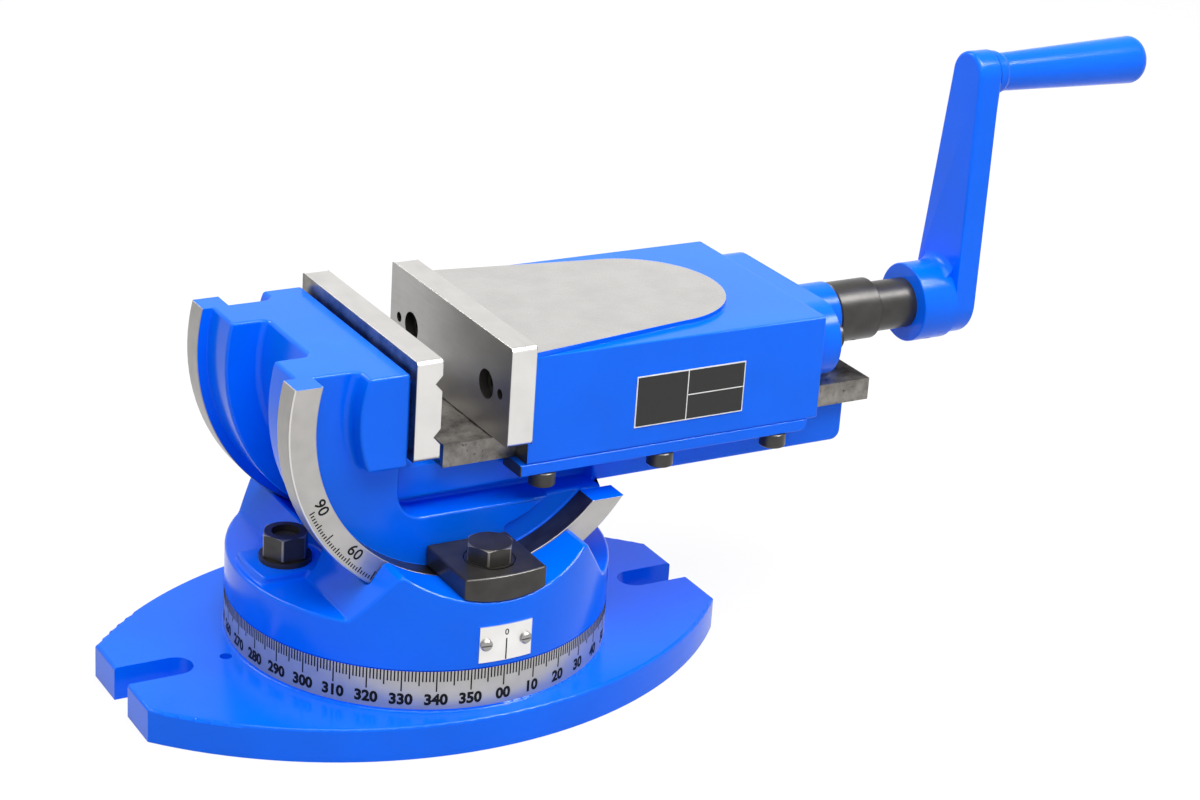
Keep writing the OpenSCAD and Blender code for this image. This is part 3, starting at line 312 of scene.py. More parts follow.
def patterned(name):
    """An empty node material, its tree, and the object coordinates on which its patterns lie."""
    material, tree = new_material(name)
    return material, tree, add_node(tree, "ShaderNodeTexCoord").outputs["Object"]


def finish_material(material, shader):
    """Sends a shader to its material's output."""
    add_node(material.node_tree, "ShaderNodeOutputMaterial", {"Surface": shader})
    return material


def per_mm(size):
    """Noise scale whose features are about this many millimetres wide, on coordinates in metres."""
    return 1000 / size


def clouded(tree, place, colour, size, detail, within, tones):
    """A colour that clouds of this size in millimetres take from one tone to another, within a range."""
    clouds = add_node(tree, "ShaderNodeTexNoise", {"Vector": place, "Scale": per_mm(size), "Detail": detail})
    tone = add_node(
        tree, "ShaderNodeMapRange",
        {
            "Value": clouds, "From Min": within[0], "From Max": within[1],
            "To Min": tones[0], "To Max": tones[1],
        },
    )
    return add_node(tree, "ShaderNodeHueSaturation", {"Color": tuple(colour), "Value": tone})


def finish_steel(material, colour, metallic, gloss, roughness, relief, strength, depth):
    """Ends a steel: one pattern sets its roughness between two values, and one its relief."""
    tree = material.node_tree
    rough = add_node(
        tree, "ShaderNodeMapRange",
        {"Value": gloss, "From Min": 0.3, "From Max": 0.7, "To Min": roughness[0], "To Max": roughness[1]},
    )
    bump = add_node(tree, "ShaderNodeBump", {"Height": relief, "Strength": strength, "Distance": depth})
    shader = add_node(
        tree, "ShaderNodeBsdfPrincipled",
        {"Base Color": colour, "Metallic": metallic, "Roughness": rough, "Normal": bump},
    )
    return finish_material(material, shader)


def enamel_on_cast_iron(name, base):
    """Glossy enamel sprayed on sand-cast iron: a wet gloss over casting waves and a faint orange peel."""
    material, tree, place = patterned(name)
    colour = clouded(tree, place, base, 60, 2.0, (0.0, 1.0), (0.86, 1.14))
    waves = add_node(tree, "ShaderNodeTexNoise", {"Vector": place, "Scale": per_mm(30), "Detail": 1.0})
    peel = add_node(tree, "ShaderNodeTexNoise", {"Vector": place, "Scale": per_mm(5), "Detail": 1.0})
    wave_bump = add_node(tree, "ShaderNodeBump", {"Height": waves, "Strength": 0.25, "Distance": mm(0.6)})
    peel_bump = add_node(
        tree, "ShaderNodeBump", {"Height": peel, "Normal": wave_bump, "Strength": 0.06, "Distance": mm(0.1)}
    )
    gloss = add_node(
        tree, "ShaderNodeMapRange",
        {"Value": waves, "From Min": 0.0, "From Max": 1.0, "To Min": 0.13, "To Max": 0.23},
    )
    shader = add_node(
        tree, "ShaderNodeBsdfPrincipled",
        {
            "Base Color": colour, "Roughness": gloss, "IOR": 1.5,
            "Specular IOR Level": 0.18, "Normal": peel_bump,
        },
    )
    return finish_material(material, shader)


def ground_steel(name, base, stretch, tone=1.0, smoothest=0.30, lay=0.22):
    """Surface-ground tool steel: fine parallel grinding lines that stretch the reflection across them."""
    material, tree, place = patterned(name)
    colour = clouded(tree, place, base, 18, 4.0, (0.35, 0.75), (tone, tone * 0.9))
    along = add_node(tree, "ShaderNodeMapping", {"Vector": place, "Scale": stretch})
    lines = add_node(
        tree, "ShaderNodeTexNoise", {"Vector": along, "Scale": per_mm(0.9), "Detail": 3.0, "Roughness": 0.6}
    )
    return finish_steel(material, colour, 1.0, lines, (smoothest, smoothest + 0.12), lines, lay, mm(0.03))


def turned_steel_band(name, base, centre, turned_about, brightness, metallic):
    """Turned steel, a little oxidised: fine tool lines that run round the axis it was turned about."""
    material, tree, place = patterned(name)
    tones = (brightness * 1.05, brightness * 0.85)
    colour = clouded(tree, place, base, 14, 4.0, (0.2, 0.8), tones)
    centred = add_node(tree, "ShaderNodeVectorMath", {0: place, 1: centre}, operation="SUBTRACT")
    parts = add_node(tree, "ShaderNodeSeparateXYZ", {0: centred})
    across, height, axial = [parts.outputs[axis] for axis in turned_about]
    squares = [
        add_node(tree, "ShaderNodeMath", {0: part, 1: 2.0}, operation="POWER") for part in (across, height)
    ]
    total = add_node(tree, "ShaderNodeMath", {0: squares[0], 1: squares[1]}, operation="ADD")
    radius = add_node(tree, "ShaderNodeMath", {0: total, 1: 0.5}, operation="POWER")
    turn = add_node(tree, "ShaderNodeMath", {0: across, 1: height}, operation="ARCTAN2")
    slow_turn = add_node(tree, "ShaderNodeMath", {0: turn, 1: mm(4)}, operation="MULTIPLY")
    groove_place = add_node(tree, "ShaderNodeCombineXYZ", {0: radius, 1: slow_turn, 2: axial})
    lines = add_node(
        tree, "ShaderNodeTexNoise",
        {"Vector": groove_place, "Scale": per_mm(0.8), "Detail": 3.0, "Roughness": 0.6},
    )
    return finish_steel(material, colour, metallic, lines, (0.28, 0.42), lines, 0.25, mm(0.03))


def black_oxide_steel(name, base, metallic):
    """Blackened and oiled steel: nearly black, with a satin gloss and faint brown where the oil lies."""
    material, tree, place = patterned(name)
    colour = clouded(tree, place, base, 12, 3.0, (0.3, 0.7), (0.8, 1.25))
    grain = add_node(tree, "ShaderNodeTexNoise", {"Vector": place, "Scale": per_mm(1.5), "Detail": 3.0})
    return finish_steel(material, colour, metallic, grain, (0.28, 0.36), grain, 0.05, mm(0.04))


def worn_way_steel(name, base):
    """Oiled slide way: milled steel, mottled with oil and dark specks."""
    material, tree, place = patterned(name)
    along = add_node(tree, "ShaderNodeMapping", {"Vector": place, "Scale": (0.12, 1.0, 1.0)})
    lines = add_node(tree, "ShaderNodeTexNoise", {"Vector": along, "Scale": per_mm(1.2), "Detail": 3.0})
    oil = add_node(
        tree, "ShaderNodeTexNoise", {"Vector": place, "Scale": per_mm(14), "Detail": 5.0, "Roughness": 0.65}
    )
    specks = add_node(tree, "ShaderNodeTexNoise", {"Vector": place, "Scale": per_mm(2.4), "Detail": 2.0})
    oil_tone, speck_tone = [
        add_node(
            tree, "ShaderNodeMapRange",
            {"Value": pattern, "From Min": low, "From Max": high, "To Min": clean, "To Max": 0.45},
        )
        for pattern, low, high, clean in ((oil, 0.35, 0.65, 1.1), (specks, 0.62, 0.72, 1.0))
    ]
    tone = add_node(tree, "ShaderNodeMath", {0: oil_tone, 1: speck_tone}, operation="MULTIPLY")
    colour = add_node(tree, "ShaderNodeHueSaturation", {"Color": tuple(base), "Value": tone})
    return finish_steel(material, colour, 1.0, oil, (0.42, 0.26), lines, 0.25, mm(0.04))


def turned_bronze(name, base):
    """Turned bronze of the spindle nut and the thrust washer: warm metal with a little tarnish."""
    material, tree, place = patterned(name)
    colour = clouded(tree, place, base, 6, 3.0, (0.3, 0.7), (1.05, 0.75))
    shader = add_node(
        tree, "ShaderNodeBsdfPrincipled", {"Base Color": colour, "Metallic": 1.0, "Roughness": 0.36}
    )
    return finish_material(material, shader)


def engraving_ink(name, base):
    """Black paint rubbed into engraved lines: matt, with faint thin places."""
    material, tree, place = patterned(name)
    colour = clouded(tree, place, base, 1.5, 2.0, (0.4, 0.75), (0.8, 1.4))
    shader = add_node(
        tree, "ShaderNodeBsdfPrincipled", {"Base Color": colour, "Roughness": 0.6, "Specular IOR Level": 0.2}
    )
    return finish_material(material, shader)


def plate_lacquer(name, base, roughness):
    """Lacquer printed on a thin aluminium plate: even, slightly grained satin."""
    material, tree, place = patterned(name)
    colour = clouded(tree, place, base, 5, 3.0, (0.3, 0.7), (0.92, 1.1))
    shader = add_node(tree, "ShaderNodeBsdfPrincipled", {"Base Color": colour, "Roughness": roughness})
    return finish_material(material, shader)


LINES_ALONG_X, LINES_ALONG_Y = (0.05, 1.0, 1.0), (1.0, 0.05, 1.0)
ABOUT_SWIVEL = ((0, 0, 0), (0, 1, 2))
ABOUT_TILT = (tuple(TILT_AXIS), (0, 2, 1))

# By key: what makes the material, its name, its colour and its settings
FINISHES = {
    "enamel": (enamel_on_cast_iron, "enamel_on_cast_iron", "enamel"),
    "plate": (ground_steel, "ground_steel_across", "ground", LINES_ALONG_Y),
    "face": (ground_steel, "ground_steel_along", "ground", LINES_ALONG_X),
    "tongue": (ground_steel, "ground_steel_top", "ground", LINES_ALONG_X, 0.94, 0.20, 0.12),
    "index": (ground_steel, "bright_index_steel", "ground", LINES_ALONG_X, 1.15),
    # Painted shade: ground steel at half brightness on the jaw plates' faces across X and on the index screws
    "jaw_face": (ground_steel, "oiled_jaw_face_steel", "ground", LINES_ALONG_Y, 0.5),
    "band": (turned_steel_band, "turned_steel_ring", "turned", *ABOUT_SWIVEL, 0.72, 0.6),
    "rocker": (turned_steel_band, "turned_steel_rocker", "turned", *ABOUT_TILT, 0.7, 0.8),
    # Painted shade: the flanges' outer rim takes the turned steel darker than the sides, 0.5 against 0.7
    "rim": (turned_steel_band, "turned_steel_rim", "turned", *ABOUT_TILT, 0.5, 0.8),
    # Partly painted shade: oiled rail steel made dark to stand in for shade in the groove
    "rail": (black_oxide_steel, "oiled_rail_steel", "rail", 0.9),
    "black": (black_oxide_steel, "black_oxide_steel", "blackened", 0.5),
    # Painted highlight for the hexagons' chamfers and rounded corners
    "worn": (black_oxide_steel, "worn_black_oxide_steel", "worn", 0.7),
    "way": (worn_way_steel, "worn_way_steel", "way"),
    "bronze": (turned_bronze, "turned_bronze", "bronze"),
    "ink": (engraving_ink, "engraving_ink", "ink"),
    "lacquer": (plate_lacquer, "black_plate_lacquer", "plate", 0.38),
    "border": (plate_lacquer, "pale_plate_print", "border", 0.5),
}


def material_for(key):
    """The scene's materials by key, each made once."""
    if key not in MATERIALS:
        maker, name, colour, *settings = FINISHES[key]
        MATERIALS[key] = maker(name, getattr(bpy.context.scene.vise_colours, colour), *settings)
    return MATERIALS[key]


# Mesh work shared by the pieces


def make_active(piece):
    """Selects one object alone and makes it the active one."""
    bpy.ops.object.select_all(action="DESELECT")
    piece.select_set(True)
    bpy.context.view_layer.objects.active = piece


@contextmanager
def whole_mesh(piece):
    """Edit mode with all of a piece's mesh selected."""
    make_active(piece)
    bpy.ops.object.mode_set(mode="EDIT")
    bpy.ops.mesh.select_all(action="SELECT")
    yield
    bpy.ops.object.mode_set(mode="OBJECT")


def apply_all(piece):
    """Applies every modifier of a piece, in order."""
    make_active(piece)
    for modifier in list(piece.modifiers):
        bpy.ops.object.modifier_apply(modifier=modifier.name)


def copy_of_node(node, name, flatness):
    """A free copy of a CAD node's mesh, its doubles merged and faces flat to these degrees joined up."""
    source = frame["nodes"][node]
    mesh = source.data.copy()
    mesh.materials.clear()
    piece = bpy.data.objects.new(name, mesh)
    bpy.context.scene.collection.objects.link(piece)
    make_active(piece)
    bpy.ops.mesh.customdata_custom_splitnormals_clear()
    with whole_mesh(piece):
        bpy.ops.mesh.remove_doubles(threshold=MERGE_DISTANCE)
        bpy.ops.mesh.dissolve_limited(angle_limit=math.radians(flatness), use_dissolve_boundaries=False)
    return piece


def smooth(piece, angle):
    """Shades a piece smooth, apart from edges sharper than the angle, and keeps its large faces flat."""
    make_active(piece)
    bpy.ops.object.shade_smooth_by_angle(angle=math.radians(angle))
    flat = piece.modifiers.new("large faces flat", "WEIGHTED_NORMAL")
    flat.keep_sharp = True
    apply_all(piece)


def round_edges(piece, width, share_of, segments=3, sharper_than=34):
    """Rounds each sharp edge of a piece to the share of the width that share_of(middle, edge) gives."""
    mesh = bmesh.new()
    mesh.from_mesh(piece.data)
    weights = mesh.edges.layers.float.new("bevel_weight_edge")
    for edge in mesh.edges:
        sharp = len(edge.link_faces) == 2 and edge.calc_face_angle(0.0) > math.radians(sharper_than)
        middle = (edge.verts[0].co + edge.verts[1].co) / 2
        edge[weights] = float(share_of(middle, edge)) if sharp else 0.0
    mesh.to_mesh(piece.data)
    mesh.free()
    bevel = piece.modifiers.new("edge rounding", "BEVEL")
    bevel.limit_method = "WEIGHT"
    bevel.width = width
    bevel.segments = segments
    bevel.use_clamp_overlap = False
    bevel.miter_outer = "MITER_ARC"
    apply_all(piece)


def paint_faces(piece, keys, chooser=None):
    """Gives each face the material that chooser(corners, normal) names out of keys, or all the first."""
    for key in keys:
        piece.data.materials.append(material_for(key))
    if chooser is None:
        return
    places = [vertex.co for vertex in piece.data.vertices]
    for face in piece.data.polygons:
        corners = [places[index] for index in face.vertices]
        face.material_index = keys.index(chooser(corners, face.normal))


def dress(piece, body, slot, *nodes):
    """Rides a finished piece on its body in place of the CAD nodes that it stands for."""
    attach(piece, body)
    if nodes:
        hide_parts(*nodes)


def dress_copy(node, name, body, slot, keys, chooser=None, width=0.0, share_of=None, flatness=0.3, angle=32):
    """Puts a finished copy in a CAD node's place: its edges rounded, its faces painted, its curves smooth."""
    piece = copy_of_node(node, name, flatness)
    if share_of:
        round_edges(piece, width, share_of)
    paint_faces(piece, keys, chooser)
    smooth(piece, angle)
    dress(piece, body, slot, node)


def one_material(piece, key):
    """Gives a whole piece one material."""
    piece.data.materials.clear()
    piece.data.materials.append(material_for(key))


def finish_cad_nodes(key, *nodes):
    """Gives CAD nodes that stay in view their material."""
    for node in nodes:
        one_material(frame["nodes"][node], key)


def distance_from_tilt(place):
    """Distance of a place from the tilt axis."""
    return math.hypot(place.x - TILT_AXIS.x, place.z - TILT_AXIS.z)


def distance_from_swivel(place):
    """Distance of a place from the swivel axis."""
    return math.hypot(place.x, place.y)


class VISE_OT_castings(bpy.types.Operator):
    """Dresses the enamelled castings: base, turntable, body and movable jaw"""

    bl_idname = "vise.dress_castings"
    bl_label = "Castings"

    def execute(self, context):
        edges = context.scene.vise_edges
        dress_copy(
            "base_plate", "base_casting", "base", "blue_paint", ["enamel", "band"], self.base_finish,
            flatness=0.02, angle=40,
        )
        dress_copy(
            "turntable", "turntable_casting", "turntable", "blue_paint", ["enamel"],
            width=edges.casting, share_of=self.table_edge,
        )
        dress_copy(
            "vise_body", "body_casting", "vise", "blue_paint", ["enamel", "rocker", "rim", "rail", "face"],
            self.body_finish, edges.fillet, self.body_edge,
        )
        dress_copy(
            "movable_jaw", "movable_jaw_casting", "jaw", "blue_paint", ["enamel", "tongue", "black"],
            self.jaw_finish, edges.jaw, self.jaw_edge,
        )
        return {"FINISHED"}

    @staticmethod
    def base_finish(corners, normal):
        """The turned band of the scale ring, above the fillet at its foot."""
        on_band = all(
            abs(distance_from_swivel(place) - RING_R) < TOUCH and BAND_FOOT < place.z < RING_TOP + TOUCH
            for place in corners
        )
        return "band" if on_band else "enamel"

    @staticmethod
    def table_edge(middle, edge):
        """Cast edges of the turntable above its turned drum, without its bores."""
        return middle.z > DRUM_TOP and distance_from_swivel(middle) > TABLE_BORES_R

    @staticmethod
    def body_edge(middle, edge):
        """Shares for the body: wide fillets in the casting's corners, smaller rounds on its outer edges."""
        outer, rail, bed = 0.45, 0.12, 0.3
        radius = distance_from_tilt(middle)
        side = abs(middle.y)
        if side > FLANGE_Y - NEAR and radius > ROCKER_R - NEAR:
            return outer
        if side > FLANGE_INNER_Y and radius > RAIL_CORNER_R:
            return rail
        if side < BED_INSIDE_Y and middle.z > BED_INSIDE_Z and middle.x > FILLET_END_X:
            return 0
        if edge.is_convex:
            return outer
        if SEAT_FRONT_X < middle.x < SEAT_BACK_X and middle.z > SEAT_FOOT_Z:
            return 0
        return 1 if middle.x < FILLET_END_X else bed

    @staticmethod
    def body_finish(corners, normal):
        """Machined faces of the rocker: the rim darker as painted shade, the sides, a painted highlight on
        the corner, the rails.
        """
        radii = [distance_from_tilt(place) for place in corners]
        side = min(abs(place.y) for place in corners)
        if side < FLANGE_INNER_Y - mm(1) or min(radii) < RAIL_R - NEAR:
            return "enamel"
        # The rim's darker turned steel is painted shade
        if min(radii) > ROCKER_R - NEAR:
            return "rim"
        # Rails: oiled steel, made dark partly as painted shade
        if max(abs(radius - RAIL_R) for radius in radii) < TOUCH / 2:
            return "rail"
        if side < FLANGE_Y - RIM_ROUNDING:
            return "enamel"
        at_rim = min(radii) > ROCKER_R - RIM_ROUNDING
        # Painted highlight: the rounded corner between rim and side takes the brighter ground steel as a
        # bright line
        if at_rim and SLANTED < abs(normal.y) < ALONG:
            return "face"
        return "rocker" if at_rim or max(radii) < RAIL_R + NEAR or abs(normal.y) > ALONG else "enamel"

    @staticmethod
    def jaw_edge(middle, edge):
        """Shares for the movable jaw: full on outer edges, crisper round its top, and none in front."""
        shoulder, top = 0.6, 0.2
        on_side = abs(middle.y) > JAW_HIGH.y - TOUCH
        at_back = middle.x > JAW_HIGH.x - TOUCH
        on_shoulder = abs(JAW_HIGH.z - TOP_STEP - middle.z) < NEAR
        if middle.x < JAW_LOW.x + TOUCH:
            return 0
        if on_side or (on_shoulder and at_back):
            return 1
        if on_shoulder:
            return shoulder
        return top if middle.z > JAW_HIGH.z - TOUCH else 0

    @staticmethod
    def jaw_finish(corners, normal):
        """The machined top face, and black oxide on the front of the casting under the jaw plate."""
        if normal.z > ALONG and min(place.z for place in corners) > JAW_HIGH.z - TOUCH:
            return "tongue"
        if normal.x < -ALONG and max(place.x for place in corners) < JAW_LOW.x + TOUCH:
            return "black"
        return "enamel"


def engraved_words(words, height, proud, squeeze, weight):
    """A thin mesh of digits in the XY plane, centred on the origin, with its front at this height in Z."""
    bpy.ops.object.text_add(location=(0, 0, 0))
    piece = bpy.context.object
    piece.data.body = words
    piece.data.align_x = "CENTER"
    piece.data.resolution_u = FONT_CURVE_STEPS
    piece.data.offset = weight
    piece.data.extrude = FONT_EXTRUDE
    bpy.ops.object.convert(target="MESH")
    with whole_mesh(piece):
        bpy.ops.mesh.remove_doubles(threshold=FONT_MERGE)
    places = [vertex.co for vertex in piece.data.vertices]
    low = Vector([min(place[axis] for place in places) for axis in range(3)])
    high = Vector([max(place[axis] for place in places) for axis in range(3)])
    scale = height / (high.y - low.y)
    middle = (low + high) / 2
    for vertex in piece.data.vertices:
        across, up, out = vertex.co - middle
        vertex.co = (across * scale * squeeze, up * scale, proud if out > 0 else -proud)
    return piece


def wrap_on_swivel(piece, turn, height, radius):
    """Wraps a flat mesh round the swivel axis, with its middle at this angle and height."""
    for vertex in piece.data.vertices:
        across, up, out = vertex.co
        angle = turn + across / radius
        vertex.co = ((radius + out) * math.cos(angle), (radius + out) * math.sin(angle), height + up)


def lay_on_rocker(piece, turn, radius):
    """Lays a flat mesh on the rocker's near side, its foot at this radius and its top towards the axis."""
    outward = Vector((math.sin(turn), 0, -math.cos(turn)))
    sideways = Vector((math.cos(turn), 0, math.sin(turn)))
    for vertex in piece.data.vertices:
        across, up, out = vertex.co
        place = TILT_AXIS + outward * (radius - up) + sideways * across
        vertex.co = (place.x, -FLANGE_Y - out, place.z)


def thin_box(name, low, high):
    """A box between two corners."""
    bpy.ops.mesh.primitive_cube_add(size=1, location=(0, 0, 0))
    piece = bpy.context.object
    piece.name = name
    for vertex in piece.data.vertices:
        vertex.co = [low[i] + (high[i] - low[i]) * (vertex.co[i] + 0.5) for i in range(3)]
    return piece


def spin_copies(piece, steps, whole, centre, axis):
    """Repeats a piece's mesh round an axis, this many times more, within the whole angle."""
    with whole_mesh(piece):
        bpy.ops.mesh.spin(steps=steps, dupli=True, angle=whole, center=centre, axis=axis)


def join_pieces(name, pieces):
    """Joins pieces into one of this name, with its normals pointing outwards."""
    joined = pieces[0]
    make_active(joined)
    for piece in pieces:
        piece.select_set(True)
    bpy.ops.object.join()
    joined.name = name
    with whole_mesh(joined):
        bpy.ops.mesh.normals_make_consistent(inside=False)
    return joined


def ink_marks(name, marks, body):
    """Joins engraved marks into one inked piece on its body."""
    piece = join_pieces(name, marks)
    one_material(piece, "ink")
    dress(piece, body, "black_oxide")


class VISE_OT_swivel_scale(bpy.types.Operator):
    """Engraves the ring of 360 degrees round the base"""

    bl_idname = "vise.engrave_swivel_scale"
    bl_label = "Swivel scale"

    def execute(self, context):
        sizes = context.scene.vise_scales
        half = sizes.line_width / 2
        front = -(RING_R + sizes.line_proud)
        back = -(RING_R - sizes.line_proud)
        lines = []
        start = 0.0
        for count, end in ((360, sizes.degree_tick), (72, sizes.five_tick), (36, sizes.ten_tick)):
            line = thin_box("ring_line", (-half, front, RING_TOP - end), (half, back, RING_TOP - start))
            spin_copies(line, count - 1, math.tau * (count - 1) / count, (0, 0, 0), (0, 0, 1))
            lines.append(line)
            start = end
        for degrees in range(0, 360, 10):
            digits = engraved_words("%02d" % degrees, sizes.digit_height, sizes.line_proud, **RING_DIGITS)
            turn = math.radians(degrees) - math.pi / 2
            wrap_on_swivel(digits, turn, RING_TOP - sizes.digit_drop, RING_R)
            lines.append(digits)
        ink_marks("swivel_scale", lines, "base")
        return {"FINISHED"}


class VISE_OT_tilt_scale(bpy.types.Operator):
    """Engraves the tilt scale on the near side of the rocker"""

    bl_idname = "vise.engrave_tilt_scale"
    bl_label = "Tilt scale"

    def execute(self, context):
        sizes = context.scene.vise_scales
        outer = ROCKER_R - sizes.tilt_inset
        half = sizes.tilt_width / 2
        lines = []
        for gaps, offset, start, end in (
            (60, 0, 0.0, sizes.tilt_tick),
            (12, 0, sizes.tilt_tick, sizes.tilt_five),
            (2, 10, sizes.tilt_five, sizes.tilt_ten),
        ):
            line = thin_box("tilt_line", (-half, start, -sizes.line_proud), (half, end, sizes.line_proud))
            lay_on_rocker(line, math.radians(offset) + sizes.tilt_start, outer)
            spin_copies(line, gaps, math.radians(TILT_ARC - 2 * offset), tuple(TILT_AXIS), (0, 1, 0))
            lines.append(line)
        for index, words in enumerate(TILT_WORDS):
            digits = engraved_words(words, sizes.tilt_digit, sizes.line_proud, **TILT_DIGITS)
            for vertex in digits.data.vertices:
                vertex.co.y += sizes.tilt_digit_drop
            step = math.radians(TILT_ARC / (len(TILT_WORDS) - 1))
            lay_on_rocker(digits, sizes.tilt_start + step * index, outer)
            lines.append(digits)
        ink_marks("tilt_scale", lines, "vise")
        return {"FINISHED"}


class VISE_OT_index_marks(bpy.types.Operator):
    """Engraves the zero line and its digit on the index plate"""

    bl_idname = "vise.engrave_index"
    bl_label = "Index marks"

    def execute(self, context):
        sizes = context.scene.vise_scales
        radius = -INDEX_LOW.y
        half = sizes.line_width / 2
        line = thin_box(
            "zero_line",
            (-half, -radius - sizes.line_proud, INDEX_LOW.z + INDEX_LINE_GAP),
            (half, -radius + sizes.line_proud, INDEX_HIGH.z - sizes.index_line_drop),
        )
        zero = engraved_words("0", sizes.index_digit, sizes.line_proud, **INDEX_DIGITS)
        height = INDEX_HIGH.z - sizes.index_line_drop / 2 - INDEX_DIGIT_DROP
        wrap_on_swivel(zero, -math.pi / 2, height, radius)
        ink_marks("index_marks", [line, zero], "turntable")
        return {"FINISHED"}


class VISE_OT_name_plate(bpy.types.Operator):
    """Fixes the bare name plate to the near side of the movable jaw"""

    bl_idname = "vise.fix_name_plate"
    bl_label = "Name plate"

    def execute(self, context):
        sizes = context.scene.vise_plate
        low = Vector((JAW_LOW.x + sizes.from_front, JAW_LOW.y - sizes.thickness, JAW_LOW.z + sizes.from_foot))
        high = low + Vector((sizes.width, sizes.thickness + PLATE_SUNK, sizes.height))
        plate = thin_box("name_plate", low, high)
        paint_faces(plate, ["border", "lacquer"])
        self.print_field(plate)
        across = low.x + sizes.width * sizes.split_across
        up = low.z + sizes.height / 2
        half = sizes.line / 2
        front, back = low.y - PLATE_LINE_PROUD, low.y + PLATE_LINE_DEPTH
        upright = thin_box("plate_upright", (across - half, front, low.z), (across + half, back, high.z))
        level = thin_box("plate_level", (across, front, up - half), (high.x, back, up + half))
        for line in (upright, level):
            paint_faces(line, ["border"])
        plate = join_pieces("name_plate", [plate, upright, level])
        dress(plate, "jaw", "black_oxide")
        return {"FINISHED"}

    @staticmethod
    def print_field(plate):
        """Insets the plate's front by the pale border, and makes the field inside it black."""
        with whole_mesh(plate):
            bpy.ops.mesh.select_mode(type="FACE")
            bpy.ops.mesh.select_all(action="DESELECT")
        for face in plate.data.polygons:
            face.select = face.normal.y < -ALONG
        bpy.ops.object.mode_set(mode="EDIT")
        bpy.ops.mesh.inset(thickness=bpy.context.scene.vise_plate.line)
        bpy.context.object.active_material_index = 1
        bpy.ops.object.material_slot_assign()
        bpy.ops.mesh.select_mode(type="VERT")
        bpy.ops.object.mode_set(mode="OBJECT")


class VISE_OT_jaw_plates(bpy.types.Operator):
    """Grinds the two jaw plates and breaks their edges"""

    bl_idname = "vise.grind_jaw_plates"
    bl_label = "Jaw plates"

    def execute(self, context):
        self.jaw_plate(context, "fixed_jaw_plate", "vise")
        self.jaw_plate(context, "movable_jaw_plate", "jaw")
        return {"FINISHED"}

    @staticmethod
    def jaw_plate(context, node, body):
        """One plate, ground on all sides and fixed to its casting."""
        edges = context.scene.vise_edges
        low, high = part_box(node)

        def share_of(middle, edge):
            """Corners along X are rounded well, the other outer edges are only broken."""
            on_ends = min(middle.y - low.y, high.y - middle.y) < PLATE_EDGE
            on_rims = min(middle.z - low.z, high.z - middle.z) < PLATE_EDGE
            if on_ends and on_rims and min(high.x - middle.x, middle.x - low.x) > PLATE_EDGE:
                return 1
            return edges.plate / edges.plate_corner if on_ends or on_rims else 0

        def finish(corners, normal):
            """Faces across X darkened as painted shade, bores black as painted shade, ends ground along X,
            rims along Y, the fixed plate's back oiled.
            """
            back = max(place.x for place in corners) < low.x + PLATE_EDGE and normal.x < -ALONG
            if back and body == "vise":
                return "way"
            # Painted shade: the faces across X, which face each other between the jaws, take the darkened
            # steel
            if abs(normal.x) > 0.5:
                return "jaw_face"
            # Painted shade: the walls of the bores take the black oxide
            if all(
                min(place.y - low.y, high.y - place.y, place.z - low.z, high.z - place.z) > PLATE_RIM
                for place in corners
            ):
                return "black"
            return "face" if abs(normal.y) > 0.7 else "plate"

        dress_copy(
            node, node.replace("_plate", "_ground_plate"), body, "ground_steel",
            ["plate", "face", "way", "jaw_face", "black"], finish, edges.plate_corner, share_of,
        )


class VISE_OT_spindle(bpy.types.Operator):
    """Finishes the crank arm, its grip, the spindle with its collars, and the flange"""

    bl_idname = "vise.finish_spindle"
    bl_label = "Spindle and crank"

    def execute(self, context):
        dress_copy(
            "crank_arm", "crank_arm_forging", "spindle", "blue_paint", ["enamel"],
            width=context.scene.vise_edges.arm, share_of=self.arm_edge, angle=50,
        )
        finish_cad_nodes("enamel", "spindle_flange", "handle_grip")
        finish_cad_nodes("black", "lead_screw", "thrust_collar", "inner_collar_screw", "flange_screws")
        finish_cad_nodes("face", "collar_pin", "inner_collar", "hub_pin", "handle_axle")
        finish_cad_nodes("bronze", "thrust_washer", "spindle_nut")
        return {"FINISHED"}

    @staticmethod
    def arm_edge(middle, edge):
        """The arm's two outlines: full on the outer face and above the hub, small round the handle's boss."""
        small = 0.3
        from_spindle = math.hypot(middle.y - SPINDLE_AXIS.y, middle.z - SPINDLE_AXIS.z)
        from_handle = math.hypot(middle.y - HANDLE_AXIS.y, middle.z - HANDLE_AXIS.z)
        if abs(middle.x - ARM_OUTER_X) < TOUCH and from_spindle > HUB_BORE_R and from_handle > BOSS_BORE_R:
            return small if from_handle < BOSS_R else 1
        if abs(middle.x - ARM_INNER_X) < TOUCH and middle.z > HUB_TOP and from_handle > AXLE_BORE_R:
            return 1
        return 0


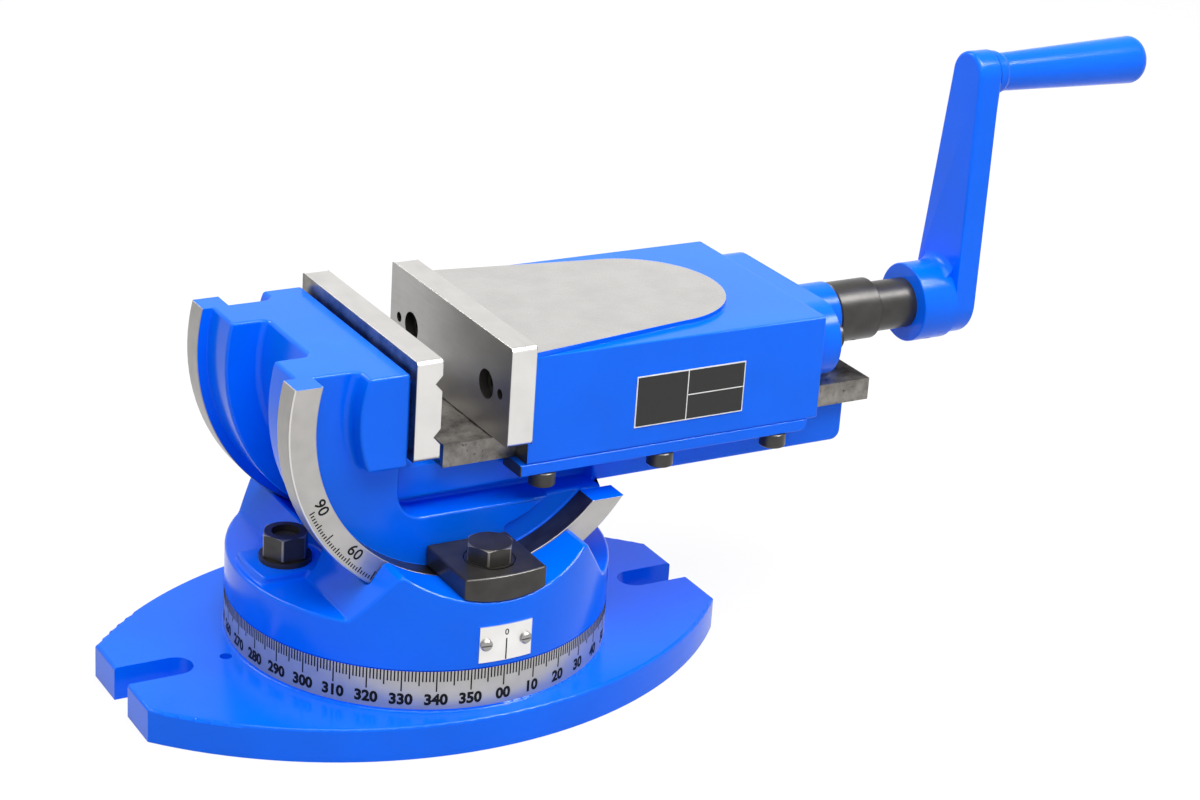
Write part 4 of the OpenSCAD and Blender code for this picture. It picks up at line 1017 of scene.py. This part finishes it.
class VISE_OT_fasteners(bpy.types.Operator):
    """Blackens the clamps, bolts, nuts and screws, and finishes the small steel parts"""

    bl_idname = "vise.finish_fasteners"
    bl_label = "Fasteners and small parts"

    def execute(self, context):
        edges = context.scene.vise_edges
        for node in ("clamp_front", "clamp_rear"):
            self.clamp(node, edges.clamp)
        for node in ("keeper_near", "keeper_far"):
            self.keeper(node, edges.keeper)
        self.hexagons("clamp_bolts", "clamp_hex_bolts", edges.hex)
        self.hexagons("swivel_nuts", "swivel_hex_nuts", edges.hex)
        finish_cad_nodes(
            "black", "clamp_washers", "swivel_bolts", "swivel_washers", "keeper_screws", "fixed_jaw_screws",
            "movable_jaw_screws", "slide_plate_screws", "spindle_nut_screws",
        )
        finish_cad_nodes("way", "slide_plate")
        finish_cad_nodes("index", "index_plate")
        # Painted shade: the index screws take the darkened ground steel
        finish_cad_nodes("jaw_face", "index_screws")
        finish_cad_nodes("face", "pivot_pin")
        return {"FINISHED"}

    @staticmethod
    def clamp(node, width):
        """A milled clamp block with every outer edge rounded, but not its bolt's bore."""
        low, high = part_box(node)
        middle_x, middle_y = (low.x + high.x) / 2, (low.y + high.y) / 2
        dress_copy(
            node, node + "_block", "turntable", "black_oxide", ["black"], width=width,
            share_of=lambda middle, edge: math.hypot(middle.x - middle_x, middle.y - middle_y) > CLAMP_BORE_R,
        )

    @staticmethod
    def keeper(node, width):
        """A keeper strip, rounded along its two sides, with black oxide on its end under the jaw plate."""
        low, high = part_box(node)
        black_end_x = low.x + KEEPER_END
        dress_copy(
            node, node + "_strip", "jaw", "blue_paint", ["enamel", "black"],
            lambda corners, normal: "black" if max(place.x for place in corners) < black_end_x else "enamel",
            width, lambda middle, edge: min(abs(middle.y - low.y), abs(middle.y - high.y)) < TOUCH,
        )

    @staticmethod
    def hexagons(node, name, width):
        """A pair of hexagons on either side of an axis, blackened, with painted highlights on corners and
        chamfers.
        """
        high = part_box(node)[1]
        axis = (high.x - HEX_HALF_FLATS / math.cos(math.radians(30)), high.y - HEX_HALF_FLATS)

        def glint_faces(corners, normal):
            """Painted highlight on the hexagon's chamfer and on its rounded corners, 4 degrees or more off a
            flat.
            """
            inner = min(math.hypot(abs(place.x) - axis[0], abs(place.y) - axis[1]) for place in corners)
            off_flat = abs((math.degrees(math.atan2(normal.y, normal.x)) % 60) - 30)
            on_chamfer = SLANTED < abs(normal.z) < 0.97
            on_corner = abs(normal.z) < SLANTED and off_flat > 4
            return "worn" if inner > HEX_HALF_FLATS - NEAR and (on_chamfer or on_corner) else "black"

        dress_copy(
            node, name, "turntable", "black_oxide", ["black", "worn"], glint_faces,
            width, lambda middle, edge: edge.is_convex and edge.calc_length() > HEX_EDGE,
        )


def seen_rays(tree):
    """1 for the rays that show the background: straight, mirrored or refracted."""
    ray = add_node(tree, "ShaderNodeLightPath").outputs
    plain = add_node(
        tree, "ShaderNodeMath", {0: ray["Is Camera Ray"], 1: ray["Is Glossy Ray"]}, operation="MAXIMUM"
    )
    return add_node(tree, "ShaderNodeMath", {0: plain, 1: ray["Is Transmission Ray"]}, operation="MAXIMUM")


class VISE_OT_stage(bpy.types.Operator):
    """Sets the camera, the lamps, the surroundings and the floor"""

    bl_idname = "vise.set_stage"
    bl_label = "Stage"

    def execute(self, context):
        stage = context.scene.vise_stage
        self.camera(context, stage)
        self.lamps(context, stage)
        self.surroundings(context, stage)
        self.floor(stage)
        context.scene.view_settings.view_transform = "Standard"
        return {"FINISHED"}

    @staticmethod
    def camera(context, stage):
        """Camera where the photographer stood, in front of the jaw end and above the vise."""
        yaw, pitch, roll = CAMERA_ANGLES
        ahead = Vector((math.sin(yaw) * math.cos(pitch), math.cos(yaw) * math.cos(pitch), math.sin(pitch)))
        level = Vector((math.cos(yaw), -math.sin(yaw), 0))
        above = level.cross(ahead)
        right = level * math.cos(roll) + above * math.sin(roll)
        up = above * math.cos(roll) - level * math.sin(roll)
        data = bpy.data.cameras.new("photo_camera")
        data.lens = stage.focal
        data.sensor_width = SENSOR_WIDTH_MM
        data.clip_start = CLIP_START
        data.clip_end = CLIP_END
        camera = bpy.data.objects.new("photo_camera", data)
        turn = Matrix((right, up, -ahead)).transposed()
        camera.matrix_world = Matrix.Translation(CAMERA_PLACE) @ turn.to_4x4()
        context.scene.collection.objects.link(camera)
        context.scene.camera = camera

    @staticmethod
    def lamps(context, stage):
        """A large soft key above, weak lamps at the jaw end and behind, and two for glossy edges only."""
        for name, place, diameter, power, share, diffuse, glossy in LAMPS:
            data = bpy.data.lights.new(name, "AREA")
            data.shape = "DISK"
            data.size = diameter
            data.energy = getattr(stage, power) * share
            lamp = bpy.data.objects.new(name, data)
            lamp.location = place
            lamp.visible_diffuse = diffuse
            lamp.visible_glossy = glossy
            lamp.rotation_euler = (LAMP_TARGET - Vector(place)).to_track_quat("-Z", "Y").to_euler()
            context.scene.collection.objects.link(lamp)

    @staticmethod
    def surroundings(context, stage):
        """A studio that is white round the vise and greyer overhead, and a plain light for all other rays."""
        world = bpy.data.worlds.new("studio")
        world.use_nodes = True
        tree = world.node_tree
        tree.nodes.clear()
        direction = add_node(tree, "ShaderNodeTexCoord").outputs["Generated"]
        parts = add_node(tree, "ShaderNodeSeparateXYZ", {0: direction})
        ramp = add_node(tree, "ShaderNodeValToRGB", {"Fac": parts.outputs[2]})
        stops = ramp.color_ramp.elements
        stops.new(STUDIO_TONES[1][0])
        for stop, (upward, tone) in zip(stops, STUDIO_TONES):
            stop.position, stop.color = upward, (tone, tone, tone, 1)
        plain = add_node(tree, "ShaderNodeBackground", {"Color": (1, 1, 1, 1), "Strength": stage.world})
        studio = add_node(tree, "ShaderNodeBackground", {"Color": ramp, "Strength": 1.0})
        mix = add_node(tree, "ShaderNodeMixShader", {0: seen_rays(tree), 1: plain, 2: studio})
        add_node(tree, "ShaderNodeOutputWorld", {"Surface": mix})
        context.scene.world = world

    @staticmethod
    def floor(stage):
        """A white floor that keeps a soft contact shadow."""
        bpy.ops.mesh.primitive_plane_add(size=FLOOR_SIZE, location=(0, 0, -FLOOR_DROP))
        floor = bpy.context.object
        floor.name = "studio_floor"
        material, tree = new_material("white_studio_paper")
        seen = seen_rays(tree)
        share = add_node(tree, "ShaderNodeMath", {0: seen, 1: stage.floor_glow}, operation="MULTIPLY")
        paper = add_node(tree, "ShaderNodeBsdfDiffuse", {"Color": (PAPER_TONE, PAPER_TONE, PAPER_TONE, 1)})
        glow = add_node(tree, "ShaderNodeEmission", {"Color": (1, 1, 1, 1), "Strength": stage.floor_white})
        mix = add_node(tree, "ShaderNodeMixShader", {0: share, 1: paper, 2: glow})
        floor.data.materials.append(finish_material(material, mix))


class VISE_PT_panel(bpy.types.Panel):
    """Sizes, colours and steps of the vise"""

    bl_label = "Tilting machine vise"
    bl_idname = "VISE_PT_panel"
    bl_space_type = "VIEW_3D"
    bl_region_type = "UI"
    bl_category = "Vise"

    def draw(self, context):
        for step in STEPS:
            self.layout.operator(step.bl_idname)
        for name, group in GROUPS.items():
            for key in group.__annotations__:
                self.layout.prop(getattr(context.scene, name), key)


GROUPS = {
    "vise_edges": ViseEdgeSizes,
    "vise_scales": ViseScaleSizes,
    "vise_plate": VisePlateSizes,
    "vise_colours": ViseColours,
    "vise_stage": ViseStage,
}
STEPS = (
    VISE_OT_castings, VISE_OT_jaw_plates, VISE_OT_spindle, VISE_OT_fasteners, VISE_OT_swivel_scale,
    VISE_OT_tilt_scale, VISE_OT_index_marks, VISE_OT_name_plate, VISE_OT_stage,
)


def register():
    """Registers the settings, the steps and the panel."""
    for name, group in GROUPS.items():
        bpy.utils.register_class(group)
        setattr(bpy.types.Scene, name, PointerProperty(type=group))
    for step in STEPS:
        bpy.utils.register_class(step)
    bpy.utils.register_class(VISE_PT_panel)


def unregister():
    """Takes away the panel, the steps and the settings."""
    bpy.utils.unregister_class(VISE_PT_panel)
    for step in reversed(STEPS):
        bpy.utils.unregister_class(step)
    for name, group in GROUPS.items():
        delattr(bpy.types.Scene, name)
        bpy.utils.unregister_class(group)


def main():
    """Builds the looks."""
    register()
    bpy.ops.vise.dress_castings()
    bpy.ops.vise.grind_jaw_plates()
    bpy.ops.vise.finish_spindle()
    bpy.ops.vise.finish_fasteners()
    bpy.ops.vise.engrave_swivel_scale()
    bpy.ops.vise.engrave_tilt_scale()
    bpy.ops.vise.engrave_index()
    bpy.ops.vise.fix_name_plate()
    bpy.ops.vise.set_stage()


if __name__ == "__main__":
    main()
